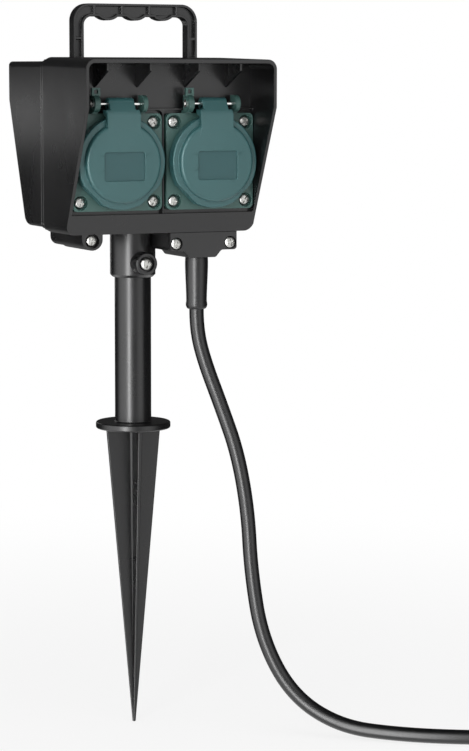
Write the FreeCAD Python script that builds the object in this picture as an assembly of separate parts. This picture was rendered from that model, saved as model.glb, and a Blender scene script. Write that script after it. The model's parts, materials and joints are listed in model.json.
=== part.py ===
import FreeCAD, Part
import math
import os

from FreeCAD import Vector

# Garden socket on a ground spike: two splash-proof earthed sockets in a hooded housing,
# on a pole with a soil plate and a four-finned spike, with a rubber mains lead.
# Millimetres. +Z is up, the sockets face -Y, +X is to the right of someone facing them.
# The origin is on the pole's axis, at the underside of the soil plate.

# How far a cutter runs past what it cuts, and how far added stock runs into its neighbour
PAST = 1.0
JOIN = 0.1

# Soil spike, plate and pole
SPIKE_LENGTH = 179.0
FIN_SPAN = 16.6
FIN_TIP_SPAN = 0.9
FIN_THICK = 2.4
FIN_TIP_THICK = 1.3
CORE_REACH = 3.4
CORE_TIP_REACH = 0.85
SPIKE_TURN = -8.0
PLATE_R = 22.15
PLATE_THICK = 4.0
PLATE_ROUND = 1.0
POLE_NECK_R = 10.75
POLE_FOOT_R = 11.15
POLE_FOOT_HIGH = 3.0
POLE_FLOOR = 2.0
POLE_TIP_CHAMFER = 1.0
POLE_WALL = 2.1
POLE_RUNNING_GAP = 0.06

# Socket tube that the pole stands in, with its clamp
TUBE_R = 13.4
TUBE_HOLE_GAP = 0.4
TUBE_BOTTOM_Z = 90.0
TUBE_CHAMFER = 1.6
TUBE_DEPTH = 36.0
TUBE_ROOF = 2.2
TUBE_FLANGE_HALF_WIDE = 21.0
TUBE_FLANGE_CORNER_R = 3.0
TUBE_FLANGE_THICK = 2.4
TUBE_FLANGE_GAP = 0.4
BOSS_R = 6.65
BOSS_OUT = 21.2
BOSS_CHAMFER = 0.8
BOSS_Z = TUBE_BOTTOM_Z + 8.8
BOSS_COUNTERBORE_R = 4.8
BOSS_COUNTERBORE_DEEP = 1.9
CLAMP_SCREW_R = 2.0
CLAMP_HEAD_R = 4.0
CLAMP_HEAD_HIGH = 2.6
CLAMP_NUT_SIDE = 7.0
CLAMP_NUT_THICK = 2.4
CLAMP_NUT_OUT = 3.2
CLAMP_NUT_Y = -TUBE_R - CLAMP_NUT_OUT
CLAMP_NUT_GAP = 0.1
CLAMP_TIP_GAP = 0.05
CLAMP_SEAT_GAP = 0.05
POLE_TOP_GAP = 0.05
FLANGE_SCREW_X = 16.8
FLANGE_SCREW_Y = 6.0
FLANGE_SCREW_GRIP = 7.0

# Square flanges of the two sockets: the housing is drawn round them
FLANGE_SIDE = 55.0
FLANGES_APART = 2.74
FLANGE_CORNER_R = 3.0
FLANGE_TO_WALL = 0.23
SOCKET_Z = 159.0
SOCKET_X = (FLANGE_SIDE + FLANGES_APART) / 2
FLANGE_TOP_Z = SOCKET_Z + FLANGE_SIDE / 2
FLANGE_FOOT_Z = SOCKET_Z - FLANGE_SIDE / 2

# Front housing, the hood
WALL = 2.0
HALF_WIDE = SOCKET_X + FLANGE_SIDE / 2 + FLANGE_TO_WALL + WALL
SILL_BELOW_FLANGE = 2.1
SILL_HIGH = 11.4
SILL_TOP_Z = FLANGE_FOOT_Z - SILL_BELOW_FLANGE
BOTTOM_Z = SILL_TOP_Z - SILL_HIGH
BEAD_OUT = 3.0
BEAD_WIDE = 1.1
BEAD_ABOVE_FLANGE = 2.9
BEAD_CORNER_R = 3.0
BEAD_TOP_Z = FLANGE_TOP_Z + BEAD_ABOVE_FLANGE
HOOD_ABOVE_BEAD = 27.6
RIM_TOP_Z = BEAD_TOP_Z + HOOD_ABOVE_BEAD
ROOF_RISE = 1.3
SEAM_TOP_Z = RIM_TOP_Z + ROOF_RISE
ROOF_THICK = 2.3
CORNER_R = 5.5
PANEL_Y = -41.6
PANEL_THICK = 2.2
HOOD_DEEP = 30.7
RIM_Y = PANEL_Y - HOOD_DEEP
RIM_KNEE_ABOVE_BEAD = 0.6
RIM_KNEE_Z = BEAD_TOP_Z + RIM_KNEE_ABOVE_BEAD
RIM_FOOT_BACK = 1.1
RIM_FOOT_Y = PANEL_Y + RIM_FOOT_BACK
SEAM_Y = -5.0
GUSSET_NEAR = 13.87
GUSSET_FAR = 12.13
GUSSET_THICK = 1.6
GUSSET_OUT = 20.0
GUSSET_TIP_Z = RIM_TOP_Z - 15.8
GUSSET_KNEE_Z = RIM_TOP_Z - 6.4
SILL_WALL = 2.2
SILL_FLOOR = 0.8
SILL_END_WALL = 4.0
SEAL_LEDGE_Y = SEAM_Y - 6.0
SEAL_LEDGE_THICK = 2.0
SEAL_LEDGE_HIGH = 3.4

# Rear housing, the tub
LAP = 4.0
LAP_GAP = 0.1
BACK_Y = 56.4
BACK_KNEE_Z = SEAM_TOP_Z - 25.3
BACK_FOOT_Y = 30.5
BACK_CORNER_R = 7.0
BAND_OUT = 0.9
BAND_END_Y = SEAM_Y + 6.7
SEAM_GAP = 0.25
SEAL_GAP = 0.25
EAR_WALL = 1.2
PAD_HIGH = 4.0

# Sockets
GASKET_THICK = 0.8
FLANGE_THICK = 3.6
FLANGE_Y = PANEL_Y - GASKET_THICK - FLANGE_THICK
SCREW_INSET = 5.0
SCREW_PITCH = FLANGE_SIDE - 2 * SCREW_INSET
COLLAR_R = 23.0
COLLAR_OUT = 5.5
MOUTH_R = 20.3
MOUTH_DEEP = 4.0
RECESS_R = 19.75
RECESS_DEEP = 17.5
RECESS_FLOOR = 2.0
TUB_R = 22.4
TUB_HOLE_GAP = 0.5
PIN_PITCH = 19.0
PIN_HOLE_R = 2.6
GUIDE_WIDE = 4.6
GUIDE_HIGH = 1.4
BASE_DEEP = 17.0
BASE_HALF_WIDE = 14.5
BASE_HALF_HIGH = 20.6
BASE_CORNER = 5.5
BASE_RIM_HIGH = 6.2
SLEEVE_R = 3.3
SLEEVE_BORE_R = 2.45
SLEEVE_LENGTH = 15.0
SLEEVE_SUNK = 0.6
SLEEVE_GAP = 0.05
SLEEVE_BACK = 2.6
TAG_HALF_WIDE = 2.6
TAG_HALF_THICK = 1.0
TAG_OUT = 5.0
CLIP_WIDE = 7.0
CLIP_THICK = 0.8
CLIP_REACH = 1.3
CLIP_GAP = 0.3
SHUTTER_THICK = 1.2
SHUTTER_GAP = 0.25
SHUTTER_HUB_R = 4.6
SHUTTER_POST_R = 2.2
SHUTTER_LAP = 0.4
SHUTTER_POST_SUNK = 5.0
SHUTTER_END_FLAT = 0.2

# Lids and their hinges
HINGE_OUT = 3.0
HINGE_ABOVE_FLANGE = 5.5
HINGE_Y = FLANGE_Y - HINGE_OUT
HINGE_Z = FLANGE_TOP_Z + HINGE_ABOVE_FLANGE
PIN_R = 1.0
BARREL_R = 3.5
BARREL_WIDE = 15.4
PIN_RUNNING_GAP = 0.06
PIN_FIT = 0.02
EAR_R = 4.8
EAR_FOOT = 4.0
EAR_BEAD_GAP = 0.2
LEFT_EAR_X = -16.6
LEFT_EAR_WIDE = 3.4
RIGHT_EAR_X = 13.2
RIGHT_EAR_WIDE = 2.6
EYELET_R = 2.3
EYELET_BORE_R = 1.2
EYELET_OUT = 0.7
LUG_WIDE = 5.2
LUG_HIGH = 4.2
LUG_THICK = 2.2
LUG_HOLE = 2.2
LUG_SUNK = 0.6
LID_R = 26.5
LID_SKIRT_BORE_R = 23.9
LID_BACK_GAP = 0.9
LID_STEP_OUT = 7.0
LID_RIM_GAP = 0.6
LID_CHORD = 25.3
LID_CHORD_TURN = 44.0
LID_INSIDE_OUT = 7.3
DOME_R = 23.0
DOME_OUT = 10.0
DOME_CROWN = 1.4
WINDOW_WIDE = 24.6
WINDOW_HIGH = 16.2
WINDOW_CORNER_R = 1.4
WINDOW_DEEP = 0.95
WINDOW_DROP = 2.0
TONGUE_WIDE = 20.4
TONGUE_FLARE_WIDE = 25.0
TONGUE_FOOT = 12.0
TONGUE_FLARE_END = 19.0
TONGUE_TOP = 1.2
TONGUE_KNEE = 6.5
TONGUE_KNEE_SINK = 1.2
TONGUE_FOOT_SINK = 0.55
TONGUE_NOTCH = 3.3
TONGUE_UNDER = 0.8
LID_SEAL_R = 22.6
LID_SEAL_WIDE = 1.6
LID_SEAL_GAP = 0.15
LID_SEAL_FIT = 0.1
SPRING_R = 2.1
SPRING_BORE_R = 1.4
SPRING_LENGTH = 4.8
SPRING_LEG = 0.7
SPRING_ROOM = 0.5
SPRING_FOOT = 1.7
SPRING_KNEE = 4.0

# Screws
SCREW_SHANK_R = 1.75
SCREW_HEAD_R = 3.5
SCREW_HEAD_HIGH = 2.0
SCREW_SEAT_R = 4.1
SCREW_SEAT_DEEP = 2.6
SCREW_GAP = 0.25
FLANGE_SCREW_LENGTH = 13.0
POST_R = 3.6
POST_END_WALL = 1.5
HOUSING_SCREW_LENGTH = 44.0
M3_SHANK_R = 1.5
M3_HEAD_R = 2.75
M3_HEAD_HIGH = 1.7
M3_GAP = 0.2
# Cross recess, as shares of the head's height and radius
CROSS_DEEP = 0.55
CROSS_WIDE = 0.26
CROSS_LONG = 1.2

# Screw ears under the housing
EAR_BOSS_R = 6.4
EAR_BOSS_X = -HALF_WIDE + 16.6
EAR_BOSS_Z = BOTTOM_Z - 2.6
EAR_SCREW_Z = BOTTOM_Z - 3.6
EAR_INSET = 0.5
REAR_BOSS_END_Y = SEAM_Y + 18.0

# Cable compartment under the right half
BOX_LEFT_X = 6.2
BOX_RIGHT_X = HALF_WIDE - 9.6
BOX_FRONT_Y = PANEL_Y + 1.6
BOX_SHOULDER_Z = BOTTOM_Z - 10.8
BOX_FLOOR_Z = BOTTOM_Z - 15.0
BOX_STEP_LEFT = BOX_LEFT_X + 9.1
BOX_STEP_RIGHT = BOX_RIGHT_X - 10.0
BOX_STEP_RUN = 3.4
BOX_CORNER_R = 1.99
BOX_INNER_R = 0.4
COVER_THICK = 2.4
COVER_GAP = 0.1
COVER_SEAT_DEEP = 1.4
COVER_SEAT_R = 3.75
BOX_SCREW_XS = (BOX_LEFT_X + 4.2, BOX_RIGHT_X - 4.3)
BOX_SCREW_Z = BOTTOM_Z - 6.6
COVER_POST_END_Y = BOX_FRONT_Y + 20.0
COVER_SCREW_LENGTH = 15.0

# Lead
CORD_R = 4.25
CORD_X = 27.7
CORD_Y = -29.8
CORD_SIDES = 8
BOOT_END_Z = 72.0
BOOT_R = 6.75
BOOT_TIP_R = 5.5
BOOT_TAPER_END = 20.0
BOOT_BEAD_R = 6.2
BOOT_BEAD_HIGH = 2.6
BOOT_FLANGE_R = 7.6
BOOT_FLANGE_THICK = 2.2
BOOT_GAP = 0.1
CABLE_FIT = 0.05
CABLE_WAY_HALF = 9.0
INNER_END_Z = BOTTOM_Z + 9.0
CLAMP_BAR_THICK = 1.6
CLAMP_BAR_GAP = 0.05
CLAMP_BAR_HIGH = 6.4
CLAMP_BAR_WIDE = 22.0
CLAMP_BAR_CORNER_R = 1.5
CLAMP_BAR_Z = BOX_FLOOR_Z + 9.4
CLAMP_BAR_SCREW_SPACE = 15.6
CLAMP_BAR_SCREW_LENGTH = 20.0
CLAMP_BAR_Y = CORD_Y - CORD_R - CLAMP_BAR_GAP - CLAMP_BAR_THICK

# Cores of the cable inside the housing
WIRE_R = 1.2
WIRE_SIDES = 6
WIRE_PAIR_GAP = 0.3
WIRE_RISE = 6.0
WIRE_BEND_Z = SOCKET_Z - 22.0
WIRE_BEHIND = 9.0
WIRE_SWING = 8.0
WIRE_SWING_BACK = 2.0
EARTH_TAP = 11.0
CORE_RING_R = 2.4
WIRE_CORNER_WAY = (0.3, -0.6, -1.0)

# Carrying handle
HANDLE_INSET = 19.6
HANDLE_WIDE = 2 * (HALF_WIDE - HANDLE_INSET)
HANDLE_LEG = 6.3
HANDLE_DEEP = 7.4
HANDLE_Y = SEAM_Y + 2.5
HANDLE_TOP_Z = SEAM_TOP_Z + 30.7
HANDLE_BAR = 7.4
HANDLE_CORNER_R = 10.0
HANDLE_INNER_R = 5.0
HANDLE_LEG_RIB_Z = SEAM_TOP_Z + 10.1
HANDLE_WEB = 2.2
HANDLE_SKIN = 1.5
HANDLE_RIB = 1.4
HANDLE_GAP = 0.15
HANDLE_FOOT_OUT = 1.5
HANDLE_FOOT_THICK = 2.4
HANDLE_FOOT_BACK = 0.3
FINGER_PITCH = 17.3
FINGER_R = 9.3
FINGER_DEEP = 2.2

# Free lead: it leaves the boot, hangs in a slack curve and comes to lie at the level of the tip
CORD_POINTS = (
    (27.7, -29.8, 72.0),
    (27.7, -29.8, 60.5),
    (31.2, -32.8, 42.0),
    (39.2, -39.8, 15.0),
    (46.8, -46.0, -12.0),
    (51.6, -50.0, -46.0),
    (53.0, -51.6, -82.0),
    (58.0, -56.0, -122.0),
    (72.0, -67.6, -155.0),
    (94.0, -87.0, -172.0),
    (122.0, -109.5, -174.6),
    (156.0, -132.5, -174.75),
    (196.0, -150.0, -174.75),
    (230.0, -157.0, -174.75),
)
COIL_MID_R = 47.0
COIL_PITCH = 9.3
COIL_LAYER = 9.3
COIL_TURNS_IN = 1.5
COIL_TURNS_CLIMB = 0.5
COIL_TURNS_OUT = 1.25
COIL_LIFT = 4.65
COIL_CHECK_STEP = 3.0

# Plug on the far end
PLUG_FACE_R = 18.2
PLUG_DISC_LENGTH = 20.0
PLUG_TAPER_LENGTH = 8.0
PLUG_NECK_R = 12.0
PLUG_NECK_LENGTH = 18.0
PLUG_RELIEF_LENGTH = 32.0
PLUG_RELIEF_R = 6.4
PLUG_PIN_R = 2.4
PLUG_PIN_ROOT_R = 2.6
PLUG_PIN_LENGTH = 19.0
PLUG_PIN_TIP = 1.0
PLUG_PIN_SUNK = 8.0
PLUG_GUIDE_WIDE = 6.0
PLUG_GUIDE_DEEP = 2.2
PLUG_GUIDE_LONG = 15.0
PLUG_EARTH_WIDE = 5.2
PLUG_EARTH_THICK = 1.1
PLUG_EARTH_DEEP = 2.0
PLUG_EARTH_LONG = 12.8
PLUG_EARTH_GAP = 0.2

made = {}


def keep(name, shape):
    """Holds one finished piece under its name."""
    made[name] = shape


def box(x0, x1, y0, y1, z0, z1):
    return Part.makeBox(x1 - x0, y1 - y0, z1 - z0, Vector(x0, y0, z0))


def rod(radius, start, end):
    """Round bar from one point to another."""
    start = Vector(*start)
    along = Vector(*end) - start
    return Part.makeCylinder(radius, along.Length, start, along)


def face_of(points):
    corners = [Vector(*point) for point in points]
    return Part.Face(Part.makePolygon(corners + corners[:1]))


def slab_xz(points, y0, y1):
    """Plate with an outline in x and z, from y0 to y1."""
    return face_of([(x, y0, z) for x, z in points]).extrude(Vector(0, y1 - y0, 0))


def slab_yz(points, x0, x1):
    """Plate with an outline in y and z, from x0 to x1."""
    return face_of([(x0, y, z) for y, z in points]).extrude(Vector(x1 - x0, 0, 0))


def turned(points, centre, axis):
    """Turned piece: points are (radius, place along the axis)."""
    side = Vector(1, 0, 0) if abs(axis.x) < 0.5 else Vector(0, 0, 1)
    corners = [centre + side * radius + axis * along for radius, along in points]
    return Part.Face(Part.makePolygon(corners + corners[:1])).revolve(centre, axis, 360)


def edges_where(shape, direction, test=None):
    """Straight edges parallel to a direction whose middle passes a test."""
    found = []
    for edge in shape.Edges:
        ends = [vertex.Point for vertex in edge.Vertexes]
        if len(ends) != 2 or edge.Curve.TypeId != "Part::GeomLine":
            continue
        along = (ends[1] - ends[0]).normalize()
        middle = (ends[0] + ends[1]) * 0.5
        if abs(abs(along.dot(direction)) - 1) < 1e-6 and (test is None or test(middle)):
            found.append(edge)
    return found


def round_edges(shape, direction, radius, test=None):
    return shape.makeFillet(radius, edges_where(shape, direction, test))


def fused(shapes):
    whole = shapes[0].multiFuse(shapes[1:]) if len(shapes) > 1 else shapes[0]
    return whole.removeSplitter()


def group(shapes):
    return Part.makeCompound(shapes)


def screw(point, axis, length, shank_r, head_r, head_high, crossed=False):
    """Screw with a flat round head: the point is under the head, the axis runs into the work."""
    point = Vector(*point)
    outline = [
        (0, -head_high),
        (head_r, -head_high),
        (head_r, 0),
        (shank_r, 0),
        (shank_r, length),
        (0, length),
    ]
    body = turned(outline, point, axis)
    if not crossed:
        return body
    slot_deep = head_high * CROSS_DEEP
    slot_wide = head_r * CROSS_WIDE
    slot_long = head_r * CROSS_LONG
    across = Vector(0, 0, 1) if abs(axis.z) < 0.5 else Vector(1, 0, 0)
    other = axis.cross(across)
    for long_way, short_way in ((across, other), (other, across)):
        reach = long_way * slot_long + short_way * slot_wide
        corner = point - axis * head_high - reach * 0.5
        blade = face_from(corner, long_way * slot_long, short_way * slot_wide)
        body = body.cut(blade.extrude(axis * slot_deep))
    return body


def face_from(corner, side_a, side_b):
    corners = [corner, corner + side_a, corner + side_a + side_b, corner + side_b, corner]
    return Part.Face(Part.makePolygon(corners))


def arc_fitted_path(points):
    """Straight runs joined by arcs that touch them, as large as the runs allow."""
    stops = [Vector(*point) for point in points]
    edges = []
    radii = []
    last = stops[0]
    for before, corner, after in zip(stops, stops[1:], stops[2:]):
        way_in = (corner - before).normalize()
        way_out = (after - corner).normalize()
        half_turn = way_in.getAngle(way_out) / 2
        reach = 0.45 * min((corner - before).Length, (after - corner).Length)
        radius = reach / math.tan(half_turn)
        radii.append(radius)
        start = corner - way_in * reach
        end = corner + way_out * reach
        bisector = (way_out - way_in).normalize()
        middle = corner + bisector * (radius / math.cos(half_turn) - radius)
        edges.append(Part.LineSegment(last, start).toShape())
        edges.append(Part.Arc(start, middle, end).toShape())
        last = end
    edges.append(Part.LineSegment(last, stops[-1]).toShape())
    return Part.Wire(edges), radii


def ring_of(centre, heading, radius, sides, low):
    """Section of a soft tube: a closed outline with flat sides and one corner on its low side."""
    along = Vector(heading).normalize()
    down = (low - along * low.dot(along)).normalize()
    across = along.cross(down)
    corners = []
    for k in range(sides):
        angle = 2 * math.pi * k / sides
        corners.append(centre + down * (radius * math.cos(angle)) + across * (radius * math.sin(angle)))
    return Part.makePolygon(corners + corners[:1])


def tube_along(path, start, heading, radius, sides, low=Vector(0, 0, -1)):
    return path.makePipeShell([ring_of(start, heading, radius, sides, low)], True, False)


def soft_tube(points, radius, sides, low):
    path, radii = arc_fitted_path(points)
    start = Vector(*points[0])
    heading = Vector(*points[1]) - start
    return tube_along(path, start, heading, radius, sides, low), path, radii


# Soil spike, plate and pole
def tapered_bar(top, foot):
    """Four-sided bar that narrows evenly from under the plate to the tip, from its two outlines."""
    top = [(x, y, PLATE_THICK / 2) for x, y in top]
    foot = [(x, y, -SPIKE_LENGTH) for x, y in foot]
    faces = [face_of(top[::-1]), face_of(foot)]
    for k in range(4):
        faces.append(face_of([foot[k - 1], top[k - 1], top[k], foot[k]]))
    bar = Part.Solid(Part.Shell(faces))
    return bar if bar.Volume > 0 else bar.reversed()


def oblong(half_x, half_y):
    return [(-half_x, -half_y), (half_x, -half_y), (half_x, half_y), (-half_x, half_y)]


def diamond(reach):
    return [(-reach, 0), (0, -reach), (reach, 0), (0, reach)]


def ground_spike():
    blades = [
        tapered_bar(oblong(FIN_SPAN, FIN_THICK / 2), oblong(FIN_TIP_SPAN, FIN_TIP_THICK / 2)),
        tapered_bar(oblong(FIN_THICK / 2, FIN_SPAN), oblong(FIN_TIP_THICK / 2, FIN_TIP_SPAN)),
    ]
    core = tapered_bar(diamond(CORE_REACH), diamond(CORE_TIP_REACH))
    top_z = TUBE_BOTTOM_Z + TUBE_DEPTH - TUBE_ROOF - POLE_TOP_GAP
    bore_r = POLE_NECK_R - POLE_WALL
    pole = turned(
        [
            (0, 0),
            (PLATE_R - PLATE_ROUND, 0),
            (PLATE_R, PLATE_ROUND),
            (PLATE_R, PLATE_THICK - PLATE_ROUND),
            (PLATE_R - PLATE_ROUND, PLATE_THICK),
            (POLE_FOOT_R, PLATE_THICK),
            (POLE_NECK_R, PLATE_THICK + POLE_FOOT_HIGH),
            (POLE_NECK_R, top_z - POLE_TIP_CHAMFER),
            (POLE_NECK_R - POLE_TIP_CHAMFER, top_z),
            (bore_r, top_z),
            (bore_r, PLATE_THICK + POLE_FLOOR),
            (0, PLATE_THICK + POLE_FLOOR),
        ],
        Vector(0, 0, 0),
        Vector(0, 0, 1),
    )
    spike = fused(blades + [core, pole])
    spike.rotate(Vector(0, 0, 0), Vector(0, 0, 1), SPIKE_TURN)
    keep("ground_spike", spike)


# Tube that the pole stands in, and its clamp
def pole_socket():
    bore_r = POLE_NECK_R + POLE_RUNNING_GAP
    top_z = TUBE_BOTTOM_Z + TUBE_DEPTH
    flange_z = REAR_BOTTOM_Z + WALL
    flange_top_z = flange_z + TUBE_FLANGE_THICK
    up = Vector(0, 0, 1)
    tube = turned(
        [
            (0, TUBE_BOTTOM_Z),
            (TUBE_R - TUBE_CHAMFER, TUBE_BOTTOM_Z),
            (TUBE_R, TUBE_BOTTOM_Z + TUBE_CHAMFER),
            (TUBE_R, top_z),
            (0, top_z),
        ],
        Vector(0, 0, 0),
        up,
    )
    flange = box(-TUBE_FLANGE_HALF_WIDE, TUBE_FLANGE_HALF_WIDE, SEAL_LEDGE_Y + TUBE_FLANGE_GAP,
                 TUBE_R + TUBE_FLANGE_THICK, flange_z, flange_top_z)
    flange = round_edges(flange, up, TUBE_FLANGE_CORNER_R)
    boss = turned(
        [
            (0, -BOSS_OUT),
            (BOSS_R - BOSS_CHAMFER, -BOSS_OUT),
            (BOSS_R, -BOSS_OUT + BOSS_CHAMFER),
            (BOSS_R, 0),
            (0, 0),
        ],
        Vector(0, 0, BOSS_Z),
        Vector(0, 1, 0),
    )
    body = fused([tube, flange, boss])
    seat_y = -BOSS_OUT + BOSS_COUNTERBORE_DEEP
    seat = rod(BOSS_COUNTERBORE_R, (0, -BOSS_OUT - PAST, BOSS_Z), (0, seat_y, BOSS_Z))
    hole = rod(CLAMP_SCREW_R + SCREW_GAP, (0, -BOSS_OUT - PAST, BOSS_Z), (0, 0, BOSS_Z))
    half = CLAMP_NUT_SIDE / 2 + CLAMP_NUT_GAP
    nut_back_y = CLAMP_NUT_Y + CLAMP_NUT_THICK
    pocket = box(-half, half, CLAMP_NUT_Y - CLAMP_NUT_GAP, nut_back_y + CLAMP_NUT_GAP,
                 BOSS_Z - half, BOSS_Z + half)
    bore = rod(bore_r, (0, 0, TUBE_BOTTOM_Z - PAST), (0, 0, top_z - TUBE_ROOF))
    body = body.cut(seat).cut(hole).cut(pocket).cut(bore)
    for x in (-FLANGE_SCREW_X, FLANGE_SCREW_X):
        body = body.cut(rod(M3_SHANK_R + M3_GAP, (x, FLANGE_SCREW_Y, flange_z - PAST),
                            (x, FLANGE_SCREW_Y, flange_top_z + PAST)))
    keep("pole_socket", body)

    half = CLAMP_NUT_SIDE / 2
    nut = box(-half, half, CLAMP_NUT_Y, nut_back_y, BOSS_Z - half, BOSS_Z + half)
    nut = nut.cut(rod(CLAMP_SCREW_R + CLAMP_SEAT_GAP, (0, CLAMP_NUT_Y - PAST, BOSS_Z),
                      (0, nut_back_y + PAST, BOSS_Z)))
    keep("clamp_nut", nut)
    head_y = seat_y - CLAMP_SEAT_GAP
    tip_y = -POLE_NECK_R - CLAMP_TIP_GAP
    keep("clamp_screw", screw((0, head_y, BOSS_Z), Vector(0, 1, 0), tip_y - head_y,
                              CLAMP_SCREW_R, CLAMP_HEAD_R, CLAMP_HEAD_HIGH, True))
    screws = []
    for x in (-FLANGE_SCREW_X, FLANGE_SCREW_X):
        screws.append(screw((x, FLANGE_SCREW_Y, flange_top_z), Vector(0, 0, -1), FLANGE_SCREW_GRIP,
                            M3_SHANK_R, M3_HEAD_R, M3_HEAD_HIGH))
    keep("pole_socket_screws", group(screws))


REAR_HALF_WIDE = HALF_WIDE - WALL - LAP_GAP
REAR_TOP_Z = SEAM_TOP_Z - ROOF_THICK - LAP_GAP
REAR_BOTTOM_Z = BOTTOM_Z + WALL + LAP_GAP
INNER_HALF_WIDE = HALF_WIDE - WALL


def box_outline(grow=0.0):
    """Outline of the cable compartment, in x and z, grown or shrunk by an even wall."""
    left = BOX_LEFT_X - grow
    right = BOX_RIGHT_X + grow
    shoulder = BOX_SHOULDER_Z - grow
    floor = BOX_FLOOR_Z - grow
    return [
        (left, BOTTOM_Z + JOIN),
        (left, shoulder),
        (BOX_STEP_LEFT - grow, shoulder),
        (BOX_STEP_LEFT + BOX_STEP_RUN - grow, floor),
        (BOX_STEP_RIGHT - BOX_STEP_RUN + grow, floor),
        (BOX_STEP_RIGHT + grow, shoulder),
        (right, shoulder),
        (right, BOTTOM_Z + JOIN),
    ]


def rounded_box_outline(y0, y1, grow=0.0):
    solid = slab_xz(box_outline(grow), y0, y1)
    low = edges_where(solid, Vector(0, 1, 0), lambda middle: middle.z < BOTTOM_Z - WALL)
    return solid.makeFillet(max(BOX_CORNER_R + grow, BOX_INNER_R), low)


def hood_blank():
    """Outer form of the front housing, with its raked side rims and rounded long edges."""
    outline = [
        (SEAM_Y, BOTTOM_Z),
        (RIM_FOOT_Y, BOTTOM_Z),
        (RIM_Y, RIM_KNEE_Z),
        (RIM_Y, RIM_TOP_Z),
        (SEAM_Y, SEAM_TOP_Z),
    ]
    blank = slab_yz(outline, -HALF_WIDE, HALF_WIDE)
    long_edges = []
    for edge in blank.Edges:
        room = edge.BoundBox
        runs_forward = room.YLength > room.XLength and room.YLength > room.ZLength
        if runs_forward and room.YMax > RIM_FOOT_Y + PAST:
            long_edges.append(edge)
    return blank.makeFillet(CORNER_R, long_edges)


def gusset_places():
    """Middle planes of the roof gussets, two above each socket."""
    return [side * (SOCKET_X + out) for side in (-1, 1) for out in (-GUSSET_NEAR, GUSSET_FAR)]


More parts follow.
